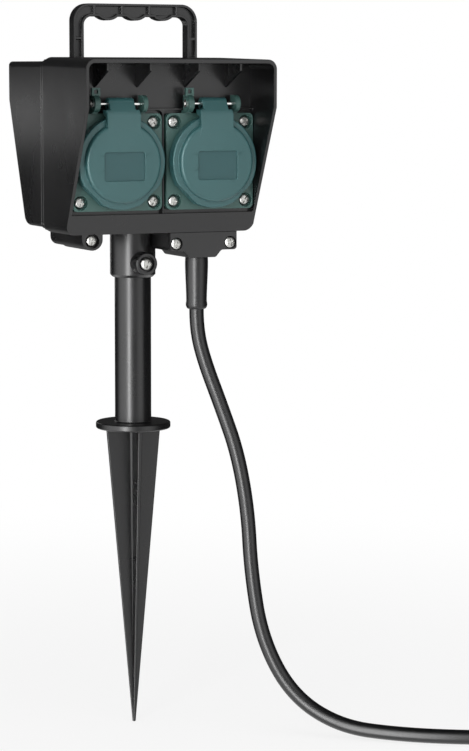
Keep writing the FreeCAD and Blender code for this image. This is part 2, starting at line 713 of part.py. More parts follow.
def front_housing():
    inner_r = CORNER_R - WALL
    along_y = Vector(0, 1, 0)
    body = hood_blank()
    hood = box(-INNER_HALF_WIDE, INNER_HALF_WIDE, RIM_Y - PAST, PANEL_Y, SILL_TOP_Z, RIM_TOP_Z - ROOF_THICK)
    hood = round_edges(hood, along_y, inner_r, lambda middle: middle.z > SOCKET_Z)
    body = body.cut(hood)

    cavity_front = PANEL_Y + PANEL_THICK
    floor_z = BOTTOM_Z + WALL
    roof_z = SEAM_TOP_Z - ROOF_THICK
    cavity = box(-INNER_HALF_WIDE, INNER_HALF_WIDE, cavity_front, SEAM_Y + PAST, floor_z, roof_z)
    cavity = round_edges(cavity, along_y, inner_r)
    sill_low = floor_z + SILL_FLOOR
    sill_high = SILL_TOP_Z - SILL_WALL
    sill_hollow = slab_yz([(cavity_front + JOIN, sill_low), (cavity_front, sill_low),
                           (RIM_FOOT_Y - PANEL_THICK, sill_high), (cavity_front + JOIN, sill_high)],
                          -INNER_HALF_WIDE + SILL_END_WALL, INNER_HALF_WIDE - SILL_END_WALL)
    body = body.cut(cavity).cut(sill_hollow)

    additions = []
    # Ledge that the seal rests on, all round inside
    ledge_front = SEAL_LEDGE_Y - SEAL_LEDGE_THICK
    frame = box(-INNER_HALF_WIDE - JOIN, INNER_HALF_WIDE + JOIN, ledge_front, SEAL_LEDGE_Y,
                floor_z - JOIN, roof_z + JOIN)
    frame = round_edges(frame, along_y, inner_r)
    opening = box(-INNER_HALF_WIDE + SEAL_LEDGE_HIGH, INNER_HALF_WIDE - SEAL_LEDGE_HIGH,
                  ledge_front - PAST, SEAL_LEDGE_Y + PAST,
                  floor_z + SEAL_LEDGE_HIGH, roof_z - SEAL_LEDGE_HIGH)
    additions.append(frame.cut(opening))

    # Beads round the socket seats: one across the top, one between the sockets
    bead_y = PANEL_Y - BEAD_OUT
    half = BEAD_WIDE / 2
    corner_z = BEAD_TOP_Z - BEAD_WIDE
    top_bead = box(-INNER_HALF_WIDE - JOIN, INNER_HALF_WIDE + JOIN, bead_y, PANEL_Y + JOIN,
                   corner_z, BEAD_TOP_Z)
    mid_bead = box(-half, half, bead_y, PANEL_Y + JOIN, SILL_TOP_Z - JOIN, corner_z + JOIN)
    web = BEAD_CORNER_R
    for side in (-1, 1):
        block = box(min(0, side * (half + web)), max(0, side * (half + web)), bead_y, PANEL_Y + JOIN,
                    corner_z - web, corner_z + JOIN)
        scoop = rod(web, (side * (half + web), bead_y - PAST, corner_z - web),
                    (side * (half + web), PANEL_Y + PAST, corner_z - web))
        additions.append(block.cut(scoop))
    additions += [top_bead, mid_bead]

    # Gussets between roof and panel
    hood_roof_z = RIM_TOP_Z - ROOF_THICK
    for x in gusset_places():
        rib = [(PANEL_Y + JOIN, hood_roof_z + JOIN), (PANEL_Y + JOIN, GUSSET_TIP_Z), (PANEL_Y, GUSSET_TIP_Z),
               (PANEL_Y - GUSSET_OUT, GUSSET_KNEE_Z), (PANEL_Y - GUSSET_OUT, hood_roof_z + JOIN)]
        additions.append(slab_yz(rib, x - GUSSET_THICK / 2, x + GUSSET_THICK / 2))

    # Posts behind the panel that take the socket screws
    post_end = FLANGE_Y + FLANGE_SCREW_LENGTH + 2 * POST_END_WALL
    for x, z in socket_screw_places():
        additions.append(rod(POST_R, (x, cavity_front - JOIN, z), (x, post_end, z)))

    # Screw ear on the left, and the cable compartment on the right
    ear_y = RIM_FOOT_Y + EAR_INSET
    ear_left = EAR_BOSS_X - EAR_BOSS_R
    ear_right = EAR_BOSS_X + EAR_BOSS_R
    ear = box(ear_left, ear_right, ear_y, SEAM_Y, EAR_BOSS_Z, floor_z)
    ear_round = rod(EAR_BOSS_R, (EAR_BOSS_X, ear_y, EAR_BOSS_Z), (EAR_BOSS_X, SEAM_Y, EAR_BOSS_Z))
    ear_round = ear_round.common(box(ear_left, ear_right, ear_y, SEAM_Y, EAR_BOSS_Z - EAR_BOSS_R, floor_z))
    additions += [ear, ear_round]
    room_front = BOX_FRONT_Y + COVER_THICK
    compartment = rounded_box_outline(room_front, SEAM_Y)
    room = rounded_box_outline(room_front - PAST, SEAM_Y - WALL, -WALL)
    tube_wall = rod(TUBE_R + TUBE_HOLE_GAP + WALL, (0, 0, TUBE_BOTTOM_Z), (0, 0, floor_z))
    compartment = compartment.cut(room.cut(tube_wall))
    for x, end_y in zip(BOX_SCREW_XS, (COVER_POST_END_Y, SEAM_Y)):
        additions.append(rod(POST_R, (x, room_front, BOX_SCREW_Z), (x, end_y, BOX_SCREW_Z)))
    saddle_front = CORD_Y + CORD_R + CLAMP_BAR_GAP
    saddle = box(CORD_X - CLAMP_BAR_WIDE / 2, CORD_X + CLAMP_BAR_WIDE / 2, saddle_front, SEAM_Y - WALL + JOIN,
                 CLAMP_BAR_Z - CLAMP_BAR_HIGH / 2, CLAMP_BAR_Z + CLAMP_BAR_HIGH / 2)
    additions += [compartment, saddle]
    body = fused([body] + additions)

    # Holes
    for side in (-1, 1):
        body = body.cut(rod(TUB_R + TUB_HOLE_GAP, (side * SOCKET_X, PANEL_Y - PAST, SOCKET_Z),
                            (side * SOCKET_X, cavity_front + POST_R, SOCKET_Z)))
    for x, z in socket_screw_places():
        body = body.cut(rod(SCREW_SHANK_R, (x, PANEL_Y - PAST, z), (x, post_end - POST_END_WALL, z)))
    for x, z in housing_screw_places():
        body = body.cut(rod(SCREW_SHANK_R + SCREW_GAP, (x, BOX_FRONT_Y - POST_R, z), (x, SEAM_Y + PAST, z)))
    cover_screw_x = BOX_SCREW_XS[0]
    body = body.cut(rod(SCREW_SHANK_R, (cover_screw_x, BOX_FRONT_Y, BOX_SCREW_Z),
                        (cover_screw_x, COVER_POST_END_Y - POST_END_WALL, BOX_SCREW_Z)))
    body = body.cut(rod(SCREW_SEAT_R, (EAR_BOSS_X, ear_y - PAST, EAR_SCREW_Z),
                        (EAR_BOSS_X, ear_y + SCREW_SEAT_DEEP, EAR_SCREW_Z)))
    cable_way = box(CORD_X - CABLE_WAY_HALF, CORD_X + CABLE_WAY_HALF, room_front + WALL,
                    ledge_front - PAST, BOTTOM_Z - JOIN, floor_z + JOIN)
    body = body.cut(cable_way)
    box_floor = BOX_FLOOR_Z + WALL
    body = body.cut(rod(BOOT_R + BOOT_GAP, (CORD_X, CORD_Y, BOX_FLOOR_Z - PAST),
                        (CORD_X, CORD_Y, box_floor + PAST)))
    body = body.cut(rod(BOOT_FLANGE_R + BOOT_GAP, (CORD_X, CORD_Y, box_floor),
                        (CORD_X, CORD_Y, box_floor + BOOT_FLANGE_THICK + BOOT_GAP)))
    body = body.cut(rod(TUBE_R + TUBE_HOLE_GAP, (0, 0, TUBE_BOTTOM_Z),
                        (0, 0, floor_z + SEAL_LEDGE_HIGH + PAST)))
    for side in (-1, 1):
        x = CORD_X + side * CLAMP_BAR_SCREW_SPACE / 2
        thread_end = CLAMP_BAR_Y + CLAMP_BAR_SCREW_LENGTH + PAST
        body = body.cut(rod(M3_SHANK_R, (x, saddle_front - PAST, CLAMP_BAR_Z), (x, thread_end, CLAMP_BAR_Z)))
    for side in (-1, 1):
        body = body.cut(handle_leg_gap(side))
    keep("front_housing", body.removeSplitter())


def handle_leg_gap(side):
    """Notch in the roof for one leg of the handle."""
    x = side * (HANDLE_WIDE - HANDLE_LEG) / 2
    half = HANDLE_LEG / 2 + HANDLE_GAP
    deep = HANDLE_DEEP / 2 + HANDLE_GAP
    return box(x - half, x + half, HANDLE_Y - deep, HANDLE_Y + deep,
               REAR_TOP_Z - WALL - PAST, SEAM_TOP_Z + PAST)


def socket_screw_places():
    half = SCREW_PITCH / 2
    return [(centre + i * half, SOCKET_Z + j * half)
            for centre in (-SOCKET_X, SOCKET_X) for i in (-1, 1) for j in (-1, 1)]


def housing_screw_places():
    return [(EAR_BOSS_X, EAR_SCREW_Z), (BOX_SCREW_XS[1], BOX_SCREW_Z)]


def drawn_in(outline, inset):
    """Outline of a convex plate, every side drawn in by the same amount."""
    corners = [Vector(y, z, 0) for y, z in outline]
    ways = [(after - here).normalize() for here, after in zip(corners, corners[1:] + corners[:1])]
    inner = []
    for k, corner in enumerate(corners):
        before = ways[k - 1]
        after = ways[k]
        half_turn = before.getAngle(after) / 2
        inward = (after - before).normalize()
        moved = corner + inward * (inset / math.cos(half_turn))
        inner.append((moved.x, moved.y))
    return inner


def rear_blank(inset, front_y):
    """Full form of the tub, its outline drawn in by the inset, from the given front plane."""
    outline = drawn_in(
        [
            (front_y - inset, REAR_BOTTOM_Z),
            (BACK_FOOT_Y, REAR_BOTTOM_Z),
            (BACK_Y, BACK_KNEE_Z),
            (BACK_Y, REAR_TOP_Z),
            (front_y - inset, REAR_TOP_Z),
        ],
        inset,
    )
    half = REAR_HALF_WIDE - inset
    blank = slab_yz(outline, -half, half)
    blank = round_edges(blank, Vector(1, 0, 0), BACK_CORNER_R - inset,
                        lambda middle: middle.y > BAND_END_Y and middle.z < REAR_BOTTOM_Z + inset + PAST)
    side_edges = [edge for edge in blank.Edges
                  if abs(abs(edge.BoundBox.XMax) - half) < 0.01
                  and edge.BoundBox.XLength < 0.01 and edge.BoundBox.YMax > SEAM_Y]
    return blank.makeFillet(CORNER_R - WALL - inset, side_edges)


def rear_housing():
    shell = rear_blank(0, SEAM_Y - LAP).cut(rear_blank(WALL, SEAM_Y - LAP - PAST))
    along_y = Vector(0, 1, 0)
    band_front = SEAM_Y + SEAM_GAP
    band = box(-REAR_HALF_WIDE - BAND_OUT, REAR_HALF_WIDE + BAND_OUT, band_front, BAND_END_Y,
               REAR_BOTTOM_Z - BAND_OUT, REAR_TOP_Z + BAND_OUT)
    band = round_edges(band, along_y, CORNER_R - WALL + BAND_OUT)
    half = WALL / 2
    core = box(-REAR_HALF_WIDE + half, REAR_HALF_WIDE - half, band_front - PAST, BAND_END_Y + PAST,
               REAR_BOTTOM_Z + half, REAR_TOP_Z - half)
    additions = [band.cut(round_edges(core, along_y, CORNER_R - WALL - half))]
    ear_r = POST_R + EAR_WALL
    for x, z in housing_screw_places():
        additions.append(rod(ear_r, (x, band_front, z), (x, REAR_BOSS_END_Y, z)))
        additions.append(box(x - ear_r, x + ear_r, band_front, REAR_BOSS_END_Y, z, REAR_BOTTOM_Z + half))
    pad_low = REAR_BOTTOM_Z - PAD_HIGH
    for x in (-FLANGE_SCREW_X, FLANGE_SCREW_X):
        additions.append(rod(M3_HEAD_R, (x, FLANGE_SCREW_Y, pad_low),
                             (x, FLANGE_SCREW_Y, REAR_BOTTOM_Z + half)))
    shell = fused([shell] + additions)
    inner_floor = REAR_BOTTOM_Z + WALL
    shell = shell.cut(rod(TUBE_R + TUBE_HOLE_GAP, (0, 0, pad_low), (0, 0, inner_floor + PAST)))
    for x, z in housing_screw_places():
        shell = shell.cut(rod(SCREW_SHANK_R, (x, SEAM_Y - PAST, z),
                              (x, REAR_BOSS_END_Y - POST_END_WALL, z)))
    for x in (-FLANGE_SCREW_X, FLANGE_SCREW_X):
        shell = shell.cut(rod(M3_SHANK_R, (x, FLANGE_SCREW_Y, pad_low + PAST),
                              (x, FLANGE_SCREW_Y, inner_floor + PAST)))
    for side in (-1, 1):
        shell = shell.cut(handle_leg_gap(side))
    keep("rear_housing", shell.removeSplitter())


def housing_seal():
    """Soft rubber ring between the tub's front edge and the ledge in the hood."""
    front = SEAL_LEDGE_Y
    back = SEAM_Y - LAP
    along_y = Vector(0, 1, 0)
    outer = box(-REAR_HALF_WIDE + SEAL_GAP, REAR_HALF_WIDE - SEAL_GAP, front, back,
                REAR_BOTTOM_Z + SEAL_GAP, REAR_TOP_Z - SEAL_GAP)
    outer = round_edges(outer, along_y, CORNER_R - WALL - SEAL_GAP)
    inner = box(-REAR_HALF_WIDE + WALL, REAR_HALF_WIDE - WALL, front - PAST, back + PAST,
                REAR_BOTTOM_Z + WALL, REAR_TOP_Z - WALL)
    inner = round_edges(inner, along_y, CORNER_R - WALL - WALL + SEAL_GAP)
    ring = outer.cut(inner)
    ring = ring.cut(rod(TUBE_R + TUBE_HOLE_GAP, (0, 0, REAR_BOTTOM_Z - PAST),
                        (0, 0, REAR_BOTTOM_Z + WALL + PAST)))
    keep("housing_seal", ring)


def housing_screws():
    along_y = Vector(0, 1, 0)
    screws = []
    for x, z in housing_screw_places():
        under_head = RIM_FOOT_Y + EAR_INSET + SCREW_SEAT_DEEP if x < 0 else BOX_FRONT_Y + COVER_SEAT_DEEP
        screws.append(screw((x, under_head, z), along_y, HOUSING_SCREW_LENGTH,
                            SCREW_SHANK_R, SCREW_HEAD_R, SCREW_HEAD_HIGH, True))
    keep("housing_screws", group(screws))
    keep("cover_screw", screw((BOX_SCREW_XS[0], BOX_FRONT_Y + COVER_SEAT_DEEP, BOX_SCREW_Z), along_y,
                              COVER_SCREW_LENGTH, SCREW_SHANK_R, SCREW_HEAD_R, SCREW_HEAD_HIGH, True))


def cable_cover():
    back = BOX_FRONT_Y + COVER_THICK - COVER_GAP
    plate = rounded_box_outline(BOX_FRONT_Y, back, -COVER_GAP)
    plate = plate.cut(box(0, HALF_WIDE, BOX_FRONT_Y - PAST, back + PAST,
                          BOTTOM_Z - COVER_GAP, BOTTOM_Z + PAST))
    for x in BOX_SCREW_XS:
        plate = plate.cut(rod(SCREW_SHANK_R + SCREW_GAP, (x, BOX_FRONT_Y - PAST, BOX_SCREW_Z),
                              (x, back + PAST, BOX_SCREW_Z)))
        plate = plate.cut(rod(COVER_SEAT_R, (x, BOX_FRONT_Y - PAST, BOX_SCREW_Z),
                              (x, BOX_FRONT_Y + COVER_SEAT_DEEP, BOX_SCREW_Z)))
    keep("cable_cover", plate)


# Sockets: everything below is drawn for one side and kept for both
def at_socket(side, x, y, z):
    return (side * SOCKET_X + x, y, SOCKET_Z + z)


def square_plate(side, y0, y1):
    half = FLANGE_SIDE / 2
    centre = side * SOCKET_X
    plate = box(centre - half, centre + half, y0, y1, SOCKET_Z - half, SOCKET_Z + half)
    return round_edges(plate, Vector(0, 1, 0), FLANGE_CORNER_R)


COLLAR_Y = FLANGE_Y - COLLAR_OUT
MOUTH_END_Y = COLLAR_Y + MOUTH_DEEP
FLOOR_FRONT_Y = COLLAR_Y + RECESS_DEEP
FLOOR_BACK_Y = FLOOR_FRONT_Y + RECESS_FLOOR
FLANGE_BACK_Y = PANEL_Y - GASKET_THICK
BASE_FRONT_Y = FLOOR_BACK_Y + SHUTTER_THICK + 2 * SHUTTER_GAP
BASE_BACK_Y = BASE_FRONT_Y + BASE_DEEP
TAG_END_Y = BASE_BACK_Y + TAG_OUT
CLIP_BACK_Y = BASE_BACK_Y + CLIP_THICK
HEAD_SEAT_Y = FLANGE_Y + SCREW_SEAT_DEEP


def screw_corners():
    """Places of the four screws of one flange, from the socket's own axis."""
    half = SCREW_PITCH / 2
    return [(i * half, j * half) for i in (-1, 1) for j in (-1, 1)]


def ear_shape(side, x, wide):
    """One hinge ear: a rounded lug that stands on the top edge of the flange, in front of the bead."""
    x0 = side * SOCKET_X + x
    x1 = x0 + wide
    knob = rod(EAR_R, (x0, HINGE_Y, HINGE_Z), (x1, HINGE_Y, HINGE_Z))
    stem = box(x0, x1, HINGE_Y, FLANGE_BACK_Y, FLANGE_TOP_Z, HINGE_Z + EAR_R)
    foot = box(x0, x1, FLANGE_Y, FLANGE_BACK_Y, FLANGE_TOP_Z - EAR_FOOT, FLANGE_TOP_Z)
    bead_room = box(x0 - PAST, x1 + PAST, PANEL_Y - BEAD_OUT - EAR_BEAD_GAP, PANEL_Y,
                    BEAD_TOP_Z - BEAD_WIDE - EAR_BEAD_GAP, HINGE_Z + EAR_R + PAST)
    return [knob.cut(bead_room), stem.cut(bead_room), foot]


def hinge_lug(side):
    """Small eye on top of the left hinge ear."""
    x0 = side * SOCKET_X + LEFT_EAR_X - LUG_SUNK
    z0 = HINGE_Z + EAR_R - LUG_SUNK
    lug = box(x0, x0 + LUG_WIDE, HINGE_Y - LUG_THICK / 2, HINGE_Y + LUG_THICK / 2,
              z0, z0 + LUG_HIGH + LUG_SUNK)
    hole_x = x0 + (LUG_WIDE - LUG_HOLE) / 2
    hole_z = z0 + LUG_SUNK + (LUG_HIGH - LUG_HOLE) / 2
    return lug.cut(box(hole_x, hole_x + LUG_HOLE, HINGE_Y - LUG_THICK, HINGE_Y + LUG_THICK,
                       hole_z, hole_z + LUG_HOLE))


def socket_body(side, name):
    centre = Vector(side * SOCKET_X, 0, SOCKET_Z)
    plate = square_plate(side, FLANGE_Y, FLANGE_BACK_Y)
    well = turned(
        [
            (MOUTH_R, COLLAR_Y),
            (COLLAR_R, COLLAR_Y),
            (COLLAR_R, FLANGE_Y + PAST),
            (TUB_R, FLANGE_Y + PAST),
            (TUB_R, FLOOR_BACK_Y),
            (0, FLOOR_BACK_Y),
            (0, FLOOR_FRONT_Y),
            (RECESS_R, FLOOR_FRONT_Y),
            (RECESS_R, MOUTH_END_Y),
            (MOUTH_R, MOUTH_END_Y),
        ],
        centre,
        Vector(0, 1, 0),
    )
    plate = plate.cut(rod((COLLAR_R + MOUTH_R) / 2, at_socket(side, 0, FLANGE_Y - PAST, 0),
                          at_socket(side, 0, FLANGE_BACK_Y + PAST, 0)))
    pieces = [plate, well, hinge_lug(side)]
    pieces += ear_shape(side, LEFT_EAR_X, LEFT_EAR_WIDE)
    pieces += ear_shape(side, RIGHT_EAR_X, RIGHT_EAR_WIDE)
    # Guide ribs for the plug, left and right in the recess, from below the mouth
    for turn in (-1, 1):
        x0, x1 = sorted((turn * (RECESS_R - GUIDE_HIGH), turn * (RECESS_R + PAST)))
        pieces.append(box(side * SOCKET_X + x0, side * SOCKET_X + x1, MOUTH_END_Y, FLOOR_FRONT_Y + PAST,
                          SOCKET_Z - GUIDE_WIDE / 2, SOCKET_Z + GUIDE_WIDE / 2))
    # Post behind the floor that the shutter turns on and the contact carrier is screwed to
    post_end = BASE_FRONT_Y + SHUTTER_POST_SUNK
    post = rod(SHUTTER_POST_R, at_socket(side, 0, FLOOR_BACK_Y - PAST, 0), at_socket(side, 0, post_end, 0))
    pieces.append(post)
    body = fused(pieces)
    body = body.cut(rod(M3_SHANK_R, at_socket(side, 0, FLOOR_BACK_Y, 0),
                        at_socket(side, 0, post_end + PAST, 0)))
    for x in (-PIN_PITCH / 2, PIN_PITCH / 2):
        body = body.cut(rod(PIN_HOLE_R, at_socket(side, x, FLOOR_FRONT_Y - PAST, 0),
                            at_socket(side, x, FLOOR_BACK_Y + PAST, 0)))
    # Slots in the wall and the floor for the earth clips, top and bottom
    half = CLIP_WIDE / 2 + CLIP_GAP
    slot_inner = RECESS_R - CLIP_REACH - 4 * CLIP_GAP
    slot_outer = RECESS_R + CLIP_THICK + CLIP_GAP
    for turn in (-1, 1):
        z0, z1 = sorted((turn * slot_inner, turn * slot_outer))
        body = body.cut(box(side * SOCKET_X - half, side * SOCKET_X + half, MOUTH_END_Y + CLIP_GAP,
                            FLOOR_BACK_Y + PAST, SOCKET_Z + z0, SOCKET_Z + z1))
    z = HINGE_Z - SOCKET_Z
    reach = FLANGE_SIDE / 2
    body = body.cut(rod(PIN_R + PIN_FIT, at_socket(side, -reach, HINGE_Y, z),
                        at_socket(side, reach, HINGE_Y, z)))
    for x, z in screw_corners():
        body = body.cut(rod(SCREW_SHANK_R + SCREW_GAP, at_socket(side, x, FLANGE_Y - PAST, z),
                            at_socket(side, x, FLANGE_BACK_Y + PAST, z)))
        body = body.cut(rod(SCREW_SEAT_R, at_socket(side, x, FLANGE_Y - PAST, z),
                            at_socket(side, x, HEAD_SEAT_Y, z)))
    keep(name + "_socket_body", body.removeSplitter())


def flange_gasket(side, name):
    ring = square_plate(side, FLANGE_BACK_Y, PANEL_Y)
    ring = ring.cut(rod(TUB_R + TUB_HOLE_GAP, at_socket(side, 0, FLANGE_Y, 0),
                        at_socket(side, 0, PANEL_Y + PAST, 0)))
    for x, z in screw_corners():
        ring = ring.cut(rod(SCREW_SHANK_R + SCREW_GAP, at_socket(side, x, FLANGE_Y, z),
                            at_socket(side, x, PANEL_Y + PAST, z)))
    keep(name + "_flange_gasket", ring)


def flange_screws(side, name):
    screws = []
    for x, z in screw_corners():
        screws.append(screw(at_socket(side, x, HEAD_SEAT_Y, z), Vector(0, 1, 0),
                            FLANGE_SCREW_LENGTH - SCREW_SEAT_DEEP,
                            SCREW_SHANK_R, SCREW_HEAD_R, SCREW_HEAD_HIGH, True))
    keep(name + "_flange_screws", group(screws))


def carrier_blank(side, y0, y1):
    """Block with cut corners, as wide and high as the contact carrier."""
    wide = BASE_HALF_WIDE
    high = BASE_HALF_HIGH
    cut = BASE_CORNER
    outline = [(-wide, cut - high), (cut - wide, -high), (wide - cut, -high), (wide, cut - high),
               (wide, high - cut), (wide - cut, high), (cut - wide, high), (-wide, high - cut)]
    return slab_xz([(side * SOCKET_X + x, SOCKET_Z + z) for x, z in outline], y0, y1)


def earth_clip(side):
    """Sprung strap that runs round the carrier and shows at the top and bottom of the recess."""
    centre = side * SOCKET_X
    half = CLIP_WIDE / 2
    inner = RECESS_R - CLIP_REACH
    inside = inner - CLIP_GAP
    bend = CLIP_REACH + RECESS_DEEP / 6
    legs = []
    for turn in (-1, 1):
        path = [(MOUTH_END_Y + 2 * CLIP_GAP, turn * (RECESS_R + CLIP_GAP / 3)),
                (MOUTH_END_Y + bend, turn * inner),
                (FLOOR_FRONT_Y - bend / 2, turn * inner),
                (FLOOR_FRONT_Y + CLIP_GAP, turn * inside),
                (CLIP_BACK_Y, turn * inside)]
        back_side = [(y, z + turn * CLIP_THICK) for y, z in reversed(path)]
        outline = [(y, SOCKET_Z + z) for y, z in path + back_side]
        legs.append(slab_yz(outline, centre - half, centre + half))
    bridge = box(centre - half, centre + half, BASE_BACK_Y, CLIP_BACK_Y, SOCKET_Z - inner, SOCKET_Z + inner)
    hole = rod(M3_SHANK_R + CABLE_FIT, at_socket(side, 0, BASE_BACK_Y - PAST, 0),
               at_socket(side, 0, CLIP_BACK_Y + PAST, 0))
    return fused(legs + [bridge.cut(hole)])


def socket_inside(side, name):
    """Contact carrier, pin sleeves and earth clip behind the recess floor."""
    front = BASE_FRONT_Y
    back = BASE_BACK_Y
    centre = side * SOCKET_X
    # Bars along the top and bottom that bear on the recess floor and leave the shutter room to turn
    bars = carrier_blank(side, FLOOR_BACK_Y, front)
    bar_z = BASE_HALF_HIGH - BASE_RIM_HIGH
    bars = bars.cut(box(centre - BASE_HALF_WIDE - PAST, centre + BASE_HALF_WIDE + PAST,
                        FLOOR_BACK_Y - PAST, front + PAST, SOCKET_Z - bar_z, SOCKET_Z + bar_z))
    base = fused([carrier_blank(side, front, back), bars])
    base = base.cut(rod(M3_SHANK_R + SLEEVE_GAP, at_socket(side, 0, front - PAST, 0),
                        at_socket(side, 0, back + PAST, 0)))
    base = base.cut(rod(SHUTTER_POST_R + SLEEVE_GAP, at_socket(side, 0, front - PAST, 0),
                        at_socket(side, 0, front + SHUTTER_POST_SUNK + CLIP_GAP, 0)))
    sleeves = []
    seat_y = front + SLEEVE_SUNK + SLEEVE_LENGTH
    tag_room = TAG_HALF_WIDE + SLEEVE_GAP
    tag_gap = TAG_HALF_THICK + SLEEVE_GAP
    for x in (-PIN_PITCH / 2, PIN_PITCH / 2):
        middle = centre + x
        base = base.cut(rod(SLEEVE_R + SLEEVE_GAP, at_socket(side, x, front - PAST, 0),
                            at_socket(side, x, seat_y, 0)))
        base = base.cut(box(middle - tag_room, middle + tag_room, front, back + PAST,
                            SOCKET_Z - tag_gap, SOCKET_Z + tag_gap))
        sleeve = rod(SLEEVE_R, at_socket(side, x, front + SLEEVE_SUNK, 0), at_socket(side, x, seat_y, 0))
        sleeve = sleeve.cut(rod(SLEEVE_BORE_R, at_socket(side, x, front, 0),
                                at_socket(side, x, seat_y - SLEEVE_BACK, 0)))
        tag = box(middle - TAG_HALF_WIDE, middle + TAG_HALF_WIDE, seat_y - SLEEVE_BACK / 2, TAG_END_Y,
                  SOCKET_Z - TAG_HALF_THICK, SOCKET_Z + TAG_HALF_THICK)
        sleeves.append(fused([sleeve, tag]))
    inner = RECESS_R - CLIP_REACH
    slot = CLIP_WIDE / 2 + CLIP_GAP
    for turn in (-1, 1):
        z0, z1 = sorted((turn * (inner - 2 * CLIP_GAP), turn * (BASE_HALF_HIGH + PAST)))
        base = base.cut(box(centre - slot, centre + slot, FLOOR_BACK_Y - PAST, back + PAST,
                            SOCKET_Z + z0, SOCKET_Z + z1))
    keep(name + "_contact_base", base)
    keep(name + "_pin_sleeves", group(sleeves))
    keep(name + "_earth_clip", earth_clip(side))
    base_screw = screw(at_socket(side, 0, CLIP_BACK_Y, 0), Vector(0, -1, 0), BASE_DEEP - POST_END_WALL,
                       M3_SHANK_R, M3_HEAD_R, M3_HEAD_HIGH)
    keep(name + "_base_screw", base_screw)


def shutter(side, name):
    """Turning plate behind the recess floor that covers the pin holes."""
    y0 = FLOOR_BACK_Y + SHUTTER_GAP
    y1 = y0 + SHUTTER_THICK
    half = PIN_HOLE_R + SHUTTER_LAP
    reach = PIN_PITCH / 2 + PIN_HOLE_R + SHUTTER_LAP
    bar = box(side * SOCKET_X - reach, side * SOCKET_X + reach, y0, y1, SOCKET_Z - half, SOCKET_Z + half)
    bar = round_edges(bar, Vector(0, 1, 0), half - SHUTTER_END_FLAT)
    hub = rod(SHUTTER_HUB_R, at_socket(side, 0, y0, 0), at_socket(side, 0, y1, 0))
    bore = rod(SHUTTER_POST_R + PIN_RUNNING_GAP, at_socket(side, 0, y0 - PAST, 0),
               at_socket(side, 0, y1 + PAST, 0))
    keep(name + "_shutter", fused([bar, hub]).cut(bore))


